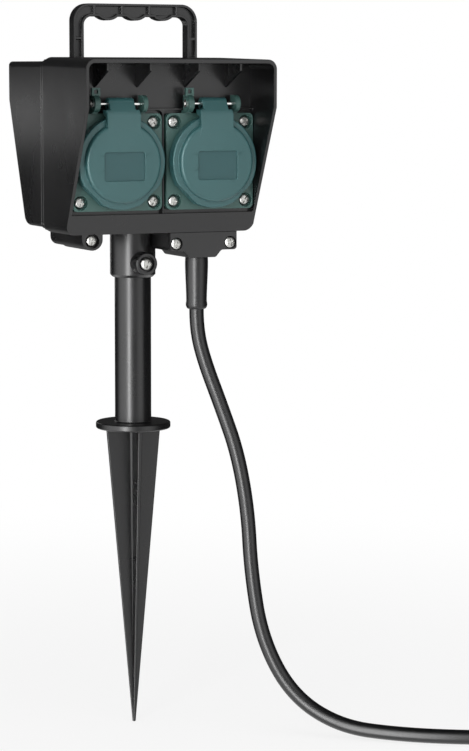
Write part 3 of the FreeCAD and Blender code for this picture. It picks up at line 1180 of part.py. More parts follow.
def lid(side, name):
    middle = side * SOCKET_X
    centre = Vector(middle, 0, SOCKET_Z)
    along_y = Vector(0, 1, 0)
    back_y = FLANGE_Y - LID_BACK_GAP
    step_y = FLANGE_Y - LID_STEP_OUT
    inside_y = FLANGE_Y - LID_INSIDE_OUT
    rim_y = COLLAR_Y - LID_RIM_GAP
    dome_y = FLANGE_Y - DOME_OUT
    crown_y = dome_y - DOME_CROWN
    cup = turned(
        [
            (0, dome_y),
            (DOME_R, dome_y),
            (DOME_R, step_y),
            (LID_R, step_y),
            (LID_R, back_y),
            (LID_SKIRT_BORE_R, back_y),
            (LID_SKIRT_BORE_R, rim_y),
            (LID_SEAL_R, rim_y),
            (LID_SEAL_R, inside_y),
            (0, inside_y),
        ],
        centre,
        along_y,
    )
    # The skirt is cut straight at its two lower corners
    for turn in (-1, 1):
        angle = math.radians(-90 + turn * LID_CHORD_TURN)
        way = Vector(math.cos(angle), 0, math.sin(angle))
        across = Vector(-way.z, 0, way.x)
        corner = centre + way * LID_CHORD - across * LID_R + Vector(0, step_y - PAST, 0)
        chord = face_from(corner, across * (2 * LID_R), way * LID_R)
        cup = cup.cut(chord.extrude(along_y * (LID_STEP_OUT + 2 * PAST)))
    sphere_r = (DOME_R ** 2 + DOME_CROWN ** 2) / (2 * DOME_CROWN)
    ball = Part.makeSphere(sphere_r, Vector(middle, crown_y + sphere_r, SOCKET_Z))
    slug = rod(DOME_R, at_socket(side, 0, dome_y, 0), at_socket(side, 0, crown_y - PAST, 0))
    crown = slug.common(ball)
    # Tongue from the hinge barrel down into the dome
    top_z = HINGE_Z + TONGUE_TOP
    foot_z = SOCKET_Z + TONGUE_FOOT
    inner_y = inside_y - JOIN
    tongue_side = [
        (HINGE_Y - BARREL_R + JOIN, top_z),
        (crown_y + TONGUE_KNEE_SINK, HINGE_Z - TONGUE_KNEE),
        (crown_y + TONGUE_FOOT_SINK, foot_z),
        (inner_y, foot_z),
        (inner_y, SOCKET_Z + LID_SEAL_R),
        (step_y, SOCKET_Z + LID_R - TONGUE_UNDER),
        (HINGE_Y, SOCKET_Z + LID_R + TONGUE_UNDER),
        (HINGE_Y + TONGUE_UNDER, HINGE_Z - BARREL_R / 2),
    ]
    half = TONGUE_WIDE / 2
    flare = TONGUE_FLARE_WIDE / 2
    tongue = slab_yz(tongue_side, middle - flare, middle + flare)
    mask_top = top_z - SOCKET_Z + PAST
    mask = slab_xz([(-half, mask_top), (-half, TONGUE_FLARE_END), (-flare, TONGUE_FOOT - PAST),
                    (flare, TONGUE_FOOT - PAST), (half, TONGUE_FLARE_END), (half, mask_top)],
                   crown_y - PAST, HINGE_Y + BARREL_R)
    mask.translate(centre)
    tongue = tongue.common(mask)
    barrel_half = BARREL_WIDE / 2
    for turn in (-1, 1):
        x0, x1 = sorted((turn * barrel_half, turn * (half + PAST)))
        tongue = tongue.cut(box(middle + x0, middle + x1, crown_y - PAST, HINGE_Y + BARREL_R,
                                HINGE_Z - TONGUE_NOTCH, top_z + PAST))
    z = HINGE_Z - SOCKET_Z
    barrel = rod(BARREL_R, at_socket(side, -barrel_half, HINGE_Y, z),
                 at_socket(side, barrel_half, HINGE_Y, z))
    body = fused([cup, crown, tongue, barrel])
    window_z = SOCKET_Z - WINDOW_DROP
    window = box(middle - WINDOW_WIDE / 2, middle + WINDOW_WIDE / 2, crown_y - PAST, crown_y + WINDOW_DEEP,
                 window_z - WINDOW_HIGH / 2, window_z + WINDOW_HIGH / 2)
    body = body.cut(round_edges(window, along_y, WINDOW_CORNER_R))
    body = body.cut(rod(PIN_R + PIN_RUNNING_GAP, at_socket(side, -BARREL_WIDE, HINGE_Y, z),
                        at_socket(side, BARREL_WIDE, HINGE_Y, z)))
    room = SPRING_LENGTH / 2 + SPRING_ROOM
    pocket = box(middle - room, middle + room, HINGE_Y - SPRING_R - SPRING_ROOM, HINGE_Y + BARREL_R + PAST,
                 HINGE_Z - EAR_R, HINGE_Z + SPRING_R + SPRING_ROOM)
    # The pocket is open at the back and top, where the spring's leg comes to lie when the lid is up
    leg_way = box(middle - room, middle + room, HINGE_Y, HINGE_Y + BARREL_R + PAST,
                  HINGE_Z, HINGE_Z + BARREL_R + PAST)
    keep(name + "_lid", body.cut(pocket).cut(leg_way).removeSplitter())

    seal_back = COLLAR_Y - LID_SEAL_GAP
    outer_r = LID_SEAL_R - LID_SEAL_FIT
    inner_r = outer_r - LID_SEAL_WIDE
    seal = turned([(inner_r, inside_y), (outer_r, inside_y), (outer_r, seal_back), (inner_r, seal_back)],
                  centre, along_y)
    keep(name + "_lid_seal", seal)


def hinge(side, name):
    """Hinge pin with its rolled left end, and the closing spring wound round it."""
    z = HINGE_Z - SOCKET_Z

    def along_pin(radius, start, end):
        return rod(radius, at_socket(side, start, HINGE_Y, z), at_socket(side, end, HINGE_Y, z))

    eye_x = LEFT_EAR_X - EYELET_OUT
    shaft = along_pin(PIN_R, eye_x, RIGHT_EAR_X + RIGHT_EAR_WIDE)
    head = along_pin(EYELET_R, eye_x, LEFT_EAR_X)
    dimple = along_pin(EYELET_BORE_R, eye_x - PAST, LEFT_EAR_X - JOIN)
    keep(name + "_hinge_pin", fused([shaft, head]).cut(dimple))

    half = SPRING_LENGTH / 2
    leg_x = side * SOCKET_X + half - SPRING_LEG
    back = HINGE_Y + SPRING_R
    knee_z = HINGE_Z - SPRING_KNEE
    foot_z = FLANGE_TOP_Z - SPRING_FOOT
    leg_outline = [(back - SPRING_LEG, HINGE_Z), (back, HINGE_Z), (FLANGE_Y, knee_z), (FLANGE_Y, foot_z),
                   (FLANGE_Y - SPRING_LEG, foot_z), (FLANGE_Y - SPRING_LEG, knee_z)]
    leg = slab_yz(leg_outline, leg_x, leg_x + SPRING_LEG)
    coil = along_pin(SPRING_R, -half, half).fuse(leg)
    keep(name + "_lid_spring", coil.cut(along_pin(SPRING_BORE_R, -half - PAST, half + PAST)))


# Lead
def cable_gland():
    """Rubber boot in the compartment's floor, the cable in it, and the bar that grips the cable."""
    seat_z = BOX_FLOOR_Z + WALL
    bore_r = CORD_R + CABLE_FIT
    bead_top_z = BOOT_END_Z + BOOT_BEAD_HIGH
    boot = turned(
        [
            (bore_r, BOOT_END_Z),
            (BOOT_BEAD_R, BOOT_END_Z),
            (BOOT_BEAD_R, bead_top_z),
            (BOOT_TIP_R, bead_top_z),
            (BOOT_R, seat_z - BOOT_TAPER_END),
            (BOOT_R, seat_z),
            (BOOT_FLANGE_R, seat_z),
            (BOOT_FLANGE_R, seat_z + BOOT_FLANGE_THICK),
            (bore_r, seat_z + BOOT_FLANGE_THICK),
        ],
        Vector(CORD_X, CORD_Y, 0),
        Vector(0, 0, 1),
    )
    keep("cable_boot", boot)
    keep("inner_cable", rod(CORD_R, (CORD_X, CORD_Y, BOOT_END_Z), (CORD_X, CORD_Y, INNER_END_Z)))
    half = CLAMP_BAR_WIDE / 2
    bar = box(CORD_X - half, CORD_X + half, CLAMP_BAR_Y, CLAMP_BAR_Y + CLAMP_BAR_THICK,
              CLAMP_BAR_Z - CLAMP_BAR_HIGH / 2, CLAMP_BAR_Z + CLAMP_BAR_HIGH / 2)
    bar = round_edges(bar, Vector(0, 1, 0), CLAMP_BAR_CORNER_R)
    screws = []
    for side in (-1, 1):
        x = CORD_X + side * CLAMP_BAR_SCREW_SPACE / 2
        bar = bar.cut(rod(M3_SHANK_R + M3_GAP, (x, CLAMP_BAR_Y - PAST, CLAMP_BAR_Z),
                          (x, CLAMP_BAR_Y + CLAMP_BAR_THICK + PAST, CLAMP_BAR_Z)))
        screws.append(screw((x, CLAMP_BAR_Y, CLAMP_BAR_Z), Vector(0, 1, 0), CLAMP_BAR_SCREW_LENGTH,
                            M3_SHANK_R, M3_HEAD_R, M3_HEAD_HIGH))
    keep("cable_clamp", bar)
    keep("cable_clamp_screws", group(screws))


def lead():
    start = Vector(*CORD_POINTS[0])
    last = Vector(*CORD_POINTS[-1])
    outwards = Vector(last.x - start.x, last.y - start.y, 0)
    cord, path, radii = soft_tube(CORD_POINTS, CORD_R, CORD_SIDES, outwards)
    keep("cord", cord)
    section = CORD_SIDES / 2 * CORD_R ** 2 * math.sin(2 * math.pi / CORD_SIDES)
    print("cord length", round(path.Length, 1))
    print("cord radii", [round(radius) for radius in radii])
    print("cord volume against section times length", round(cord.Volume / (section * path.Length), 4))
    coil_path, coil_end, coil_heading = coil_route()
    coil = tube_along(coil_path, last, heading_of_cord(), CORD_R, CORD_SIDES)
    keep("cord_coil", coil)
    print("coil length", round(coil_path.Length, 1))
    print("coil volume against section times length", round(coil.Volume / (section * coil_path.Length), 4))
    print("coil least gap to itself", round(gap_to_itself(coil_path), 2))
    print("free lead length", round(path.Length + coil_path.Length, 1))
    plug(coil_end, coil_heading)


def heading_of_cord():
    return (Vector(*CORD_POINTS[-1]) - Vector(*CORD_POINTS[-2])).normalize()


def biarc(start, way_in, end, way_out):
    """Two arcs that leave one point and reach the next along the given ways."""
    chord = end - start
    ways = way_in + way_out
    lead_on = 2 * way_in.dot(way_out) - 2
    across = -2 * chord.dot(ways)
    if abs(lead_on) < 1e-9:
        reach = chord.Length / 4
    else:
        root = math.sqrt(across * across - 4 * lead_on * chord.dot(chord))
        reach = (-across - root) / (2 * lead_on)
        if reach < 0:
            reach = (-across + root) / (2 * lead_on)
    near = start + way_in * reach
    far = end - way_out * reach
    join = (near + far) * 0.5
    arcs = []
    for first, knee, second in ((start, near, join), (join, far, end)):
        share = (second - first).Length / (2 * reach)
        middle = (first + second + knee * (2 * share)) * (1 / (2 + 2 * share))
        arcs.append(Part.Arc(first, middle, second).toShape())
    return arcs


def coil_route():
    """Round coil in two layers: spirals in, climbs half a turn, spirals out, ends in a straight."""
    start = Vector(*CORD_POINTS[-1])
    heading = heading_of_cord()
    straight = 2 * CORD_R
    first = start + heading * straight
    left = Vector(-heading.y, heading.x, 0)
    outer = COIL_MID_R + COIL_PITCH * COIL_TURNS_IN / 2
    centre = first + left * outer
    angle_0 = math.atan2(-left.y, -left.x)
    total = COIL_TURNS_IN + COIL_TURNS_CLIMB + COIL_TURNS_OUT
    inner = outer - COIL_PITCH * COIL_TURNS_IN
    final = inner + COIL_PITCH * COIL_TURNS_OUT

    def place(turns):
        if turns <= COIL_TURNS_IN:
            radius = outer - COIL_PITCH * turns
            height = 0.0
        elif turns <= COIL_TURNS_IN + COIL_TURNS_CLIMB:
            share = (turns - COIL_TURNS_IN) / COIL_TURNS_CLIMB
            radius = inner - COIL_PITCH / (2 * math.pi) * math.sin(math.pi * share)
            height = COIL_LAYER * (1 - math.cos(math.pi * share)) / 2
        else:
            done = turns - COIL_TURNS_IN - COIL_TURNS_CLIMB
            radius = inner + COIL_PITCH * done
            height = COIL_LAYER
            rise = done - (COIL_TURNS_OUT - 0.5)
            if rise > 0:
                height += COIL_LIFT * (1 - math.cos(2 * math.pi * rise)) / 2
        angle = angle_0 + 2 * math.pi * turns
        return centre + Vector(radius * math.cos(angle), radius * math.sin(angle), height)

    def way(turns):
        if turns <= 0:
            return heading
        step = 1e-4
        ahead = place(min(turns + step, total))
        behind = place(turns - step)
        tangent = (ahead - behind).normalize()
        if turns >= total:
            tangent = Vector(tangent.x, tangent.y, 0).normalize()
        return tangent

    quarter = 0.25
    stops = [quarter * k for k in range(int(round(total / quarter)) + 1)]
    edges = [Part.LineSegment(start, first).toShape()]
    for here, there in zip(stops, stops[1:]):
        edges += biarc(place(here), way(here), place(there), way(there))
    last = place(total)
    last_way = way(total)
    end = last + last_way * straight
    edges.append(Part.LineSegment(last, end).toShape())
    print("coil radii", round(outer, 1), round(inner, 1), round(final, 1))
    return Part.Wire(edges), end, last_way


def gap_to_itself(path):
    """Least clear distance between stretches of a tube more than a third of a turn apart."""
    points = path.discretize(Distance=COIL_CHECK_STEP)
    skip = int(COIL_MID_R * 2 / COIL_CHECK_STEP)
    least = 1e9
    for i, one in enumerate(points):
        for other in points[i + skip:]:
            least = min(least, (one - other).Length)
    return least - 2 * CORD_R


def plug(end, heading):
    """Rubber plug with two round pins and side earth contacts."""
    neck = PLUG_RELIEF_LENGTH
    waist = neck + PLUG_NECK_LENGTH
    disc = waist + PLUG_TAPER_LENGTH
    face = disc + PLUG_DISC_LENGTH
    body = turned(
        [
            (0, 0),
            (PLUG_RELIEF_R, 0),
            (PLUG_RELIEF_R, neck),
            (PLUG_NECK_R, neck),
            (PLUG_NECK_R, waist),
            (PLUG_FACE_R, disc),
            (PLUG_FACE_R, face),
            (0, face),
        ],
        Vector(0, 0, 0),
        Vector(1, 0, 0),
    )
    pins = []
    strips = []
    pin_start = face - PLUG_PIN_SUNK
    pin_end = face + PLUG_PIN_LENGTH
    guide_half = PLUG_GUIDE_WIDE / 2
    slot_half = PLUG_EARTH_WIDE / 2 + PLUG_EARTH_GAP
    slot_start = face - PLUG_EARTH_LONG - PLUG_EARTH_GAP
    for turn in (-1, 1):
        y0, y1 = sorted((turn * (PLUG_FACE_R - PLUG_GUIDE_DEEP), turn * (PLUG_FACE_R + PAST)))
        body = body.cut(box(face - PLUG_GUIDE_LONG, face + PAST, y0, y1, -guide_half, guide_half))
        z0, z1 = sorted((turn * (PLUG_FACE_R - PLUG_EARTH_DEEP), turn * (PLUG_FACE_R + PAST)))
        body = body.cut(box(slot_start, face + PAST, -slot_half, slot_half, z0, z1))
        y = turn * PIN_PITCH / 2
        body = body.cut(rod(PLUG_PIN_ROOT_R, (pin_start, y, 0), (face + PAST, y, 0)))
        pin_outline = [(0, pin_start), (PLUG_PIN_ROOT_R, pin_start), (PLUG_PIN_ROOT_R, face),
                       (PLUG_PIN_R, face), (PLUG_PIN_R, pin_end - PLUG_PIN_TIP),
                       (PLUG_PIN_R - PLUG_PIN_TIP, pin_end), (0, pin_end)]
        pins.append(turned(pin_outline, Vector(0, y, 0), Vector(1, 0, 0)))
        strip_inner = PLUG_FACE_R - PLUG_EARTH_DEEP
        z0, z1 = sorted((turn * strip_inner, turn * (strip_inner + PLUG_EARTH_THICK)))
        strips.append(box(face - PLUG_EARTH_LONG, face - PLUG_EARTH_GAP,
                          -PLUG_EARTH_WIDE / 2, PLUG_EARTH_WIDE / 2, z0, z1))
    turn_z = math.degrees(math.atan2(heading.y, heading.x))
    pieces = (("plug_body", body), ("plug_pins", group(pins)), ("plug_earth_contacts", group(strips)))
    for name, shape in pieces:
        shape.rotate(Vector(0, 0, 0), Vector(0, 0, 1), turn_z)
        shape.translate(end)
        keep(name, shape)


def wires():
    """Cores from the end of the lead to the right socket, and links on to the left one."""
    rise_z = INNER_END_Z + WIRE_RISE
    behind = TAG_END_Y + WIRE_BEHIND
    beside = WIRE_R + WIRE_PAIR_GAP / 2
    core_x = CORE_RING_R * math.cos(math.radians(30))
    core_y = CORD_Y - CORE_RING_R / 2
    for name, turn in (("live_wires", 1), ("neutral_wires", -1)):
        tag_x = turn * PIN_PITCH / 2
        feed_x = SOCKET_X + tag_x + beside
        feed = (
            (CORD_X + turn * core_x, core_y, INNER_END_Z),
            (CORD_X + turn * core_x, core_y, rise_z),
            (feed_x, behind, WIRE_BEND_Z),
            (feed_x, behind, SOCKET_Z),
            (feed_x, TAG_END_Y, SOCKET_Z),
        )
        keep_wires(name, feed, link_route(SOCKET_X + tag_x - beside, -SOCKET_X + tag_x, TAG_END_Y,
                                          SOCKET_Z, turn * WIRE_SWING))
    feed = (
        (CORD_X, CORD_Y + CORE_RING_R, INNER_END_Z),
        (CORD_X, CORD_Y + CORE_RING_R, rise_z),
        (SOCKET_X, behind, WIRE_BEND_Z),
        (SOCKET_X, behind, SOCKET_Z - EARTH_TAP),
        (SOCKET_X, CLIP_BACK_Y, SOCKET_Z - EARTH_TAP),
    )
    link = link_route(SOCKET_X, -SOCKET_X, CLIP_BACK_Y, SOCKET_Z + EARTH_TAP, WIRE_SWING)
    keep_wires("earth_wires", feed, link)


def link_route(right_x, left_x, start_y, z, swing):
    """Route from a terminal of the right socket round to the same one of the left socket."""
    behind = TAG_END_Y + WIRE_BEHIND
    middle_x = (right_x + left_x) / 2
    return (
        (right_x, start_y, z),
        (right_x, behind, z),
        (middle_x, behind + WIRE_SWING_BACK, z + swing),
        (left_x, behind, z),
        (left_x, start_y, z),
    )


def keep_wires(name, feed, link):
    solids = []
    for points in (feed, link):
        wire, path, radii = soft_tube(points, WIRE_R, WIRE_SIDES, Vector(*WIRE_CORNER_WAY))
        solids.append(wire)
        print(name, "radii", [round(radius, 1) for radius in radii])
    keep(name, group(solids))


def handle():
    """Carrying handle: a channelled bow with finger rests, its feet hooked under the roof."""
    half = HANDLE_WIDE / 2
    inner = half - HANDLE_LEG
    roof_under = REAR_TOP_Z - WALL
    low = HANDLE_TOP_Z - HANDLE_BAR
    y0 = HANDLE_Y - HANDLE_DEEP / 2
    y1 = HANDLE_Y + HANDLE_DEEP / 2
    along_y = Vector(0, 1, 0)

    def grip_shape(inset, front, back):
        """The bow between two planes, all its outlines drawn in by the inset."""
        top = HANDLE_TOP_Z - inset
        block = box(-half + inset, half - inset, front, back, roof_under, top)
        block = round_edges(block, along_y, HANDLE_CORNER_R - inset, lambda middle: middle.z > top - PAST)
        hollow = box(-inner - inset, inner + inset, front - PAST, back + PAST, roof_under - PAST, low + inset)
        hollow = round_edges(hollow, along_y, HANDLE_INNER_R + inset, lambda middle: middle.z > low - PAST)
        for k in (-1, 0, 1):
            x = k * FINGER_PITCH
            rest_z = low - FINGER_DEEP + FINGER_R
            hollow = hollow.cut(rod(FINGER_R - inset, (x, front - 2 * PAST, rest_z),
                                    (x, back + 2 * PAST, rest_z)))
        return block.cut(hollow)

    bow = grip_shape(0, y0, y1)
    channel = (HANDLE_DEEP - HANDLE_WEB) / 2
    for front, back in ((y0 - PAST, y0 + channel), (y1 - channel, y1 + PAST)):
        pocket = grip_shape(HANDLE_SKIN, front, back)
        near = front - PAST
        far = back + PAST
        for k in (-1.5, -0.5, 0.5, 1.5):
            x = k * FINGER_PITCH
            pocket = pocket.cut(box(x - HANDLE_RIB / 2, x + HANDLE_RIB / 2, near, far,
                                    low - FINGER_R, HANDLE_TOP_Z))
        for side in (-1, 1):
            x0, x1 = sorted((side * (inner - PAST), side * (half + PAST)))
            pocket = pocket.cut(box(x0, x1, near, far, HANDLE_LEG_RIB_Z, HANDLE_LEG_RIB_Z + HANDLE_RIB))
            pocket = pocket.cut(box(x0, x1, near, far, roof_under - PAST, SEAM_TOP_Z + HANDLE_FOOT_BACK))
        bow = bow.cut(pocket)
    feet = []
    for side in (-1, 1):
        x0, x1 = sorted((side * (inner - HANDLE_FOOT_OUT), side * (half + HANDLE_FOOT_OUT)))
        feet.append(box(x0, x1, y0 + HANDLE_FOOT_BACK, y1, roof_under - HANDLE_FOOT_THICK, roof_under))
    keep("carry_handle", fused([bow] + feet))


ground_spike()
pole_socket()
front_housing()
rear_housing()
housing_seal()
housing_screws()
cable_cover()
for side, name in ((-1, "left"), (1, "right")):
    socket_body(side, name)
    flange_gasket(side, name)
    flange_screws(side, name)
    socket_inside(side, name)
    shutter(side, name)
    lid(side, name)
    hinge(side, name)
cable_gland()
lead()
wires()
handle()

os.makedirs("parts", exist_ok=True)
for name, shape in made.items():
    solids = len(shape.Solids)
    if not shape.isValid() or not solids:
        print("CHECK", name, "valid", shape.isValid(), "solids", solids)
    shape.exportStep("parts/" + name + ".step")
print(len(made), "nodes")
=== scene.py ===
import json
import math

import bmesh
import bpy
from mathutils import Matrix, Vector


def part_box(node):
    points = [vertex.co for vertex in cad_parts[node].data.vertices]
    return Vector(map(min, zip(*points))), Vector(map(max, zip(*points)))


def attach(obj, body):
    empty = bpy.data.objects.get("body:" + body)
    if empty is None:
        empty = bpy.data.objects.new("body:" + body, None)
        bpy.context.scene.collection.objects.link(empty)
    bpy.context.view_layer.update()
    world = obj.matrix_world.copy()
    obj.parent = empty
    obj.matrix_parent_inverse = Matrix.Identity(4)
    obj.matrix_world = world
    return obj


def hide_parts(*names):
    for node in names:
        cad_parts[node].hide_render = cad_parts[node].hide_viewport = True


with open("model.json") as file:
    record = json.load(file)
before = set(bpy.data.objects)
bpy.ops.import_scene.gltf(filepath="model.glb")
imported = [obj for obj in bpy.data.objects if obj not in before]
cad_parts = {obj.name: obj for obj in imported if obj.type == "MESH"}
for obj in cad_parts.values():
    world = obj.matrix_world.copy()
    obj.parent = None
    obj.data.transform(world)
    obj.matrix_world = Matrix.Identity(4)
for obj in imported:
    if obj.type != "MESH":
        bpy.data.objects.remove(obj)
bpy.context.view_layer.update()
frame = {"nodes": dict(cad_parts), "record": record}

bl_info = {
    "name": "Garden socket on a ground spike",
    "version": (1, 0, 0),
    "blender": (4, 5, 0),
    "location": "3D View > Sidebar > Garden socket",
    "description": "Dresses the packed garden socket: lids, flanges, housing, lead, finishes and stage",
    "category": "Object",
}

NODES = frame["nodes"]
MM = 0.001
MERGE_WITHIN = 0.001 * MM

# The lead's route from the boot to the start of its coil, in the frame of the part
CORD_POINTS = (
    (0.0277, -0.0298, 0.0720),
    (0.0277, -0.0298, 0.0605),
    (0.0312, -0.0328, 0.0420),
    (0.0392, -0.0398, 0.0150),
    (0.0468, -0.0460, -0.0120),
    (0.0516, -0.0500, -0.0460),
    (0.0530, -0.0516, -0.0820),
    (0.0580, -0.0560, -0.1220),
    (0.0720, -0.0676, -0.1550),
    (0.0940, -0.0870, -0.1720),
    (0.1220, -0.1095, -0.1746),
    (0.1560, -0.1325, -0.17475),
    (0.1960, -0.1500, -0.17475),
    (0.2300, -0.1570, -0.17475),
)
COIL_START_R = 0.05398
COIL_PITCH = 0.0093
COIL_LAYER = 0.0093
COIL_TURNS_IN = 1.5
COIL_CLIMB = 0.5
COIL_TURNS_OUT = 1.25
COIL_LIFT = 0.00465
COIL_STEPS = 16

# Housing: underside of the hood, the panel, and the end and underside of the rear casing's joint band
BOTTOM_Z = 118.0 * MM
PANEL_Y = -41.6 * MM
RIM_END_Y = 1.7 * MM
RIM_BOTTOM_Z = 119.2 * MM
COMPARTMENT_DEEP = 34 * MM
# What lies this near the outermost face of a casing belongs to its outside
SKIN = 1.2 * MM
RIM_SKIN = 0.5 * MM
# Draft beside the seam: its length, and how far it leans in
FRONT_DRAFT = (2.2 * MM, 0.5 * MM)
REAR_DRAFT = (2.7 * MM, 0.45 * MM)

# Cable cover: its screws, and the small step that is too slim for the rounding
BOX_SCREW_XS = (10.4 * MM, 44.7 * MM)
BOX_SCREW_Z = 111.4 * MM
BOX_SCREW_CLEAR = 4.0 * MM
COVER_STEP = (38.8 * MM, 107.1 * MM)
# Fields of the handle, in millimetres of x and z, whose webs are too slim for the rounding
GRIP_SLIM = ((35.0, 39.0, 227.0, 237.0), (11.8, 13.2, 240.0, 242.5))

# Pole's socket: the foot of its tube and the clamp screw's boss, radii and y of the boss in millimetres
TUBE_INSIDE_R = 11.6 * MM
BOSS_Z = 98.8 * MM
BOSS_FRONT_Y = -21.24
BOSS_R = 6.65
BOSS_BORE_R = 4.72
BOSS_SUNK = 4.5

# Spike: half sizes of a blade and of the core, along and across, under the plate and at the tip
BLADE_TOP = (16.6 * MM, 1.2 * MM)
BLADE_TIP = (0.9 * MM, 0.65 * MM)
CORE_TOP = (2.5 * MM, 2.5 * MM)
CORE_TIP = (0.6 * MM, 0.6 * MM)
BLADE_SUNK = 2 * MM
SPIKE_TURN = -8.0
# Plate and pole, in millimetres
PLATE_R = 22.15
PLATE_THICK = 4.0
PLATE_ROUND = 1.1
POLE_R = 10.75
POLE_BORE_R = 8.65
POLE_BORE_START = 6.0
POLE_FOOT_ROUND = 1.0
POLE_TIP_BEVEL = 1.0

# Flanges and lids
FLANGE_THICK = 3.6 * MM
SCREW_OUT = 22.5 * MM
SEAT_R = 4.3 * MM
EARS_START = 26 * MM
COLLAR_OUT = 1.8 * MM
HINGE_Y = -49.0 * MM
HINGE_Z = 192.0 * MM
PIN_WAY_R = 1.06 * MM
BARREL_R = 3.5 * MM
BARREL_BEVEL = 0.3 * MM
BARREL_WIDE = 15.4 * MM
SPRING_ROOM = 5.8 * MM
SPRING_ROOM_REACH = 5 * MM
SPRING_ROOM_HALF = 2.4 * MM
SEAL_WIDE = 1.6
SEAL_LIP_R = 0.4
LID_CROWN_Y = -57.4
LID_CHORD = 25.3 * MM
LID_CHORD_TURN = 44.0
WINDOW_WIDE = 24.6 * MM
WINDOW_HIGH = 16.2 * MM
WINDOW_DROP = 2.0 * MM
WINDOW_DEEP = 1.35
WINDOW_CORNER_R = 1.4 * MM
TONGUE_ROOM = 15 * MM
# Outlines of a lid's tongue, in millimetres: from the side y and z, from the front half its width and z
TONGUE_SIDE = (
    (-52.4, 193.2), (-56.2, 185.5), (-56.75, 167.5), (-53.4, 167.5), (-53.4, 181.6),
    (-53.0, 184.7), (-49.0, 186.3), (-48.2, 190.25))
TONGUE_FRONT = ((7.7, 194.5), (7.7, 188.7), (10.2, 188.7), (10.2, 178.0), (12.6, 170.5), (13.0, 166.0))

# Screws: head radius, head height and shank radius, and the lengths of the shanks
PAN_SCREW = (3.5 * MM, 2.0 * MM, 1.75 * MM)
CLAMP_SCREW = (4.0 * MM, 2.6 * MM, 2.0 * MM)
FLANGE_SHANK = 10.4 * MM
HOUSING_SHANK = 44.0 * MM
COVER_SHANK = 15.0 * MM
# The cross recess as shares of the head's radius, and its depth as a share of the head's height
RECESS_LONG = 0.62
RECESS_WIDE = 0.15
RECESS_DEEP = 0.62

# Plug: it is rounded outside its face rim, and behind its disc outside its core
PLUG_RIM_R = 14.5 * MM
PLUG_CORE_R = 5 * MM
PLUG_DISC_BACK = -25 * MM

# Studio: brightness in gloss, by degrees from the front towards the left
STUDIO = (
    (-170, 0.05), (-62, 0.05), (-46, 0.9), (-26, 1.7), (-10, 1.4), (4, 0.6), (25, 0.8), (39, 4.0),
    (48, 20.0), (57, 4.0), (68, 2.7), (88, 2.5), (108, 1.9), (122, 1.0), (133, 0.2), (142, 0.03))
TABLE_GLOW = 1.3
SOFT_GLOW = 0.35
# Lamps: name, place, width and height, power
LAMPS = (
    ("key", (-1.19, -1.21, 0.50), (0.45, 1.35), 12.5),
    ("side", (-1.60, -0.14, 0.45), (0.9, 1.2), 2.5),
    ("front", (0.16, -1.78, 0.50), (2.4, 1.4), 8.5),
    ("near band", (-0.24, 0.36, 0.180), (0.30, 0.046), 0.026),
    ("near back", (-0.05, 0.40, 0.125), (0.07, 0.17), 0.045),
    ("top", (-0.1, -0.35, 1.35), (1.2, 0.9), 4.5),
)
LAMP_AIM = (0.0, -0.02, 0.06)
# Camera at the photo's angle
CAMERA_PLACE = (-0.58065, -1.34796, 0.2110)
CAMERA_WAY = (0.42972, 0.89472, -0.12170)
CAMERA_ROLL = -0.11
CAMERA_LENS = 119.40

# Finishes: width of a moulding's flow clouds, and how much they change its roughness
CLOUD_WIDE = 35 * MM
CLOUD_SWING = 0.04
# A mould's grain and a drawn surface's lines are near 0.1 mm, too fine to show, so they are drawn this wide
GRAIN_WIDE = 0.55 * MM
ETCHED_GRAIN_WIDE = 0.35 * MM
LINE_WIDE = 0.3 * MM
LINE_STRETCH = (0.1, 1, 1)
PLASTIC_IOR = 1.5
WHITE = (1, 1, 1, 1)


class SocketSizes(bpy.types.PropertyGroup):
    """Sizes of the pieces that are made here."""

    cord_diameter: bpy.props.FloatProperty(
        name="Lead diameter", description="Outside diameter of the rubber lead",
        default=0.0085, unit="LENGTH")
    floor_height: bpy.props.FloatProperty(
        name="Floor height", description="Height of the stage floor, at the tip of the spike",
        default=-0.179, unit="LENGTH")


class SocketColours(bpy.types.PropertyGroup):
    """Colours of the finishes, as hex values."""

    housing: bpy.props.StringProperty(
        name="Housing", description="Black of the moulded housing", default="#111112")
    lid: bpy.props.StringProperty(
        name="Lid", description="Green of the hinged lids", default="#335a5b")
    # The field's darker green is painted shade of its shallow recess
    etched_shaded: bpy.props.StringProperty(
        name="Field", description="Green of the etched field in a lid", default="#2c4e50")
    flange: bpy.props.StringProperty(
        name="Flange", description="Green of the socket flanges", default="#3a5853")
    rubber: bpy.props.StringProperty(
        name="Rubber", description="Black of the lead and its boot", default="#121213")


def sizes():
    """Sizes that a user can change."""
    return bpy.context.scene.socket_sizes


def colours():
    """Colours that a user can change."""
    return bpy.context.scene.socket_colours


# Finishes
def from_hex(value):
    """Linear colour from an sRGB hex value."""
    channels = [int(value[k:k + 2], 16) / 255 for k in (1, 3, 5)]
    linear = [c / 12.92 if c <= 0.04045 else ((c + 0.055) / 1.055) ** 2.4 for c in channels]
    return (*linear, 1.0)


def add_node(tree, kind, inputs=None, **settings):
    """Adds one node, sets its settings, and links or sets its inputs."""
    node = tree.nodes.new(kind)
    for key, value in settings.items():
        setattr(node, key, value)
    for key, value in (inputs or {}).items():
        if isinstance(value, bpy.types.NodeSocket):
            tree.links.new(value, node.inputs[key])
        else:
            node.inputs[key].default_value = value
    return node


def empty_tree(owner):
    """Node tree of a material or world, with nothing in it yet."""
    owner.use_nodes = True
    owner.node_tree.nodes.clear()
    return owner.node_tree


def new_material(name):
    """Node material with its output and shader joined."""
    material = bpy.data.materials.new(name)
    tree = empty_tree(material)
    shader = add_node(tree, "ShaderNodeBsdfPrincipled")
    add_node(tree, "ShaderNodeOutputMaterial", {"Surface": shader.outputs["BSDF"]})
    return material, tree, shader


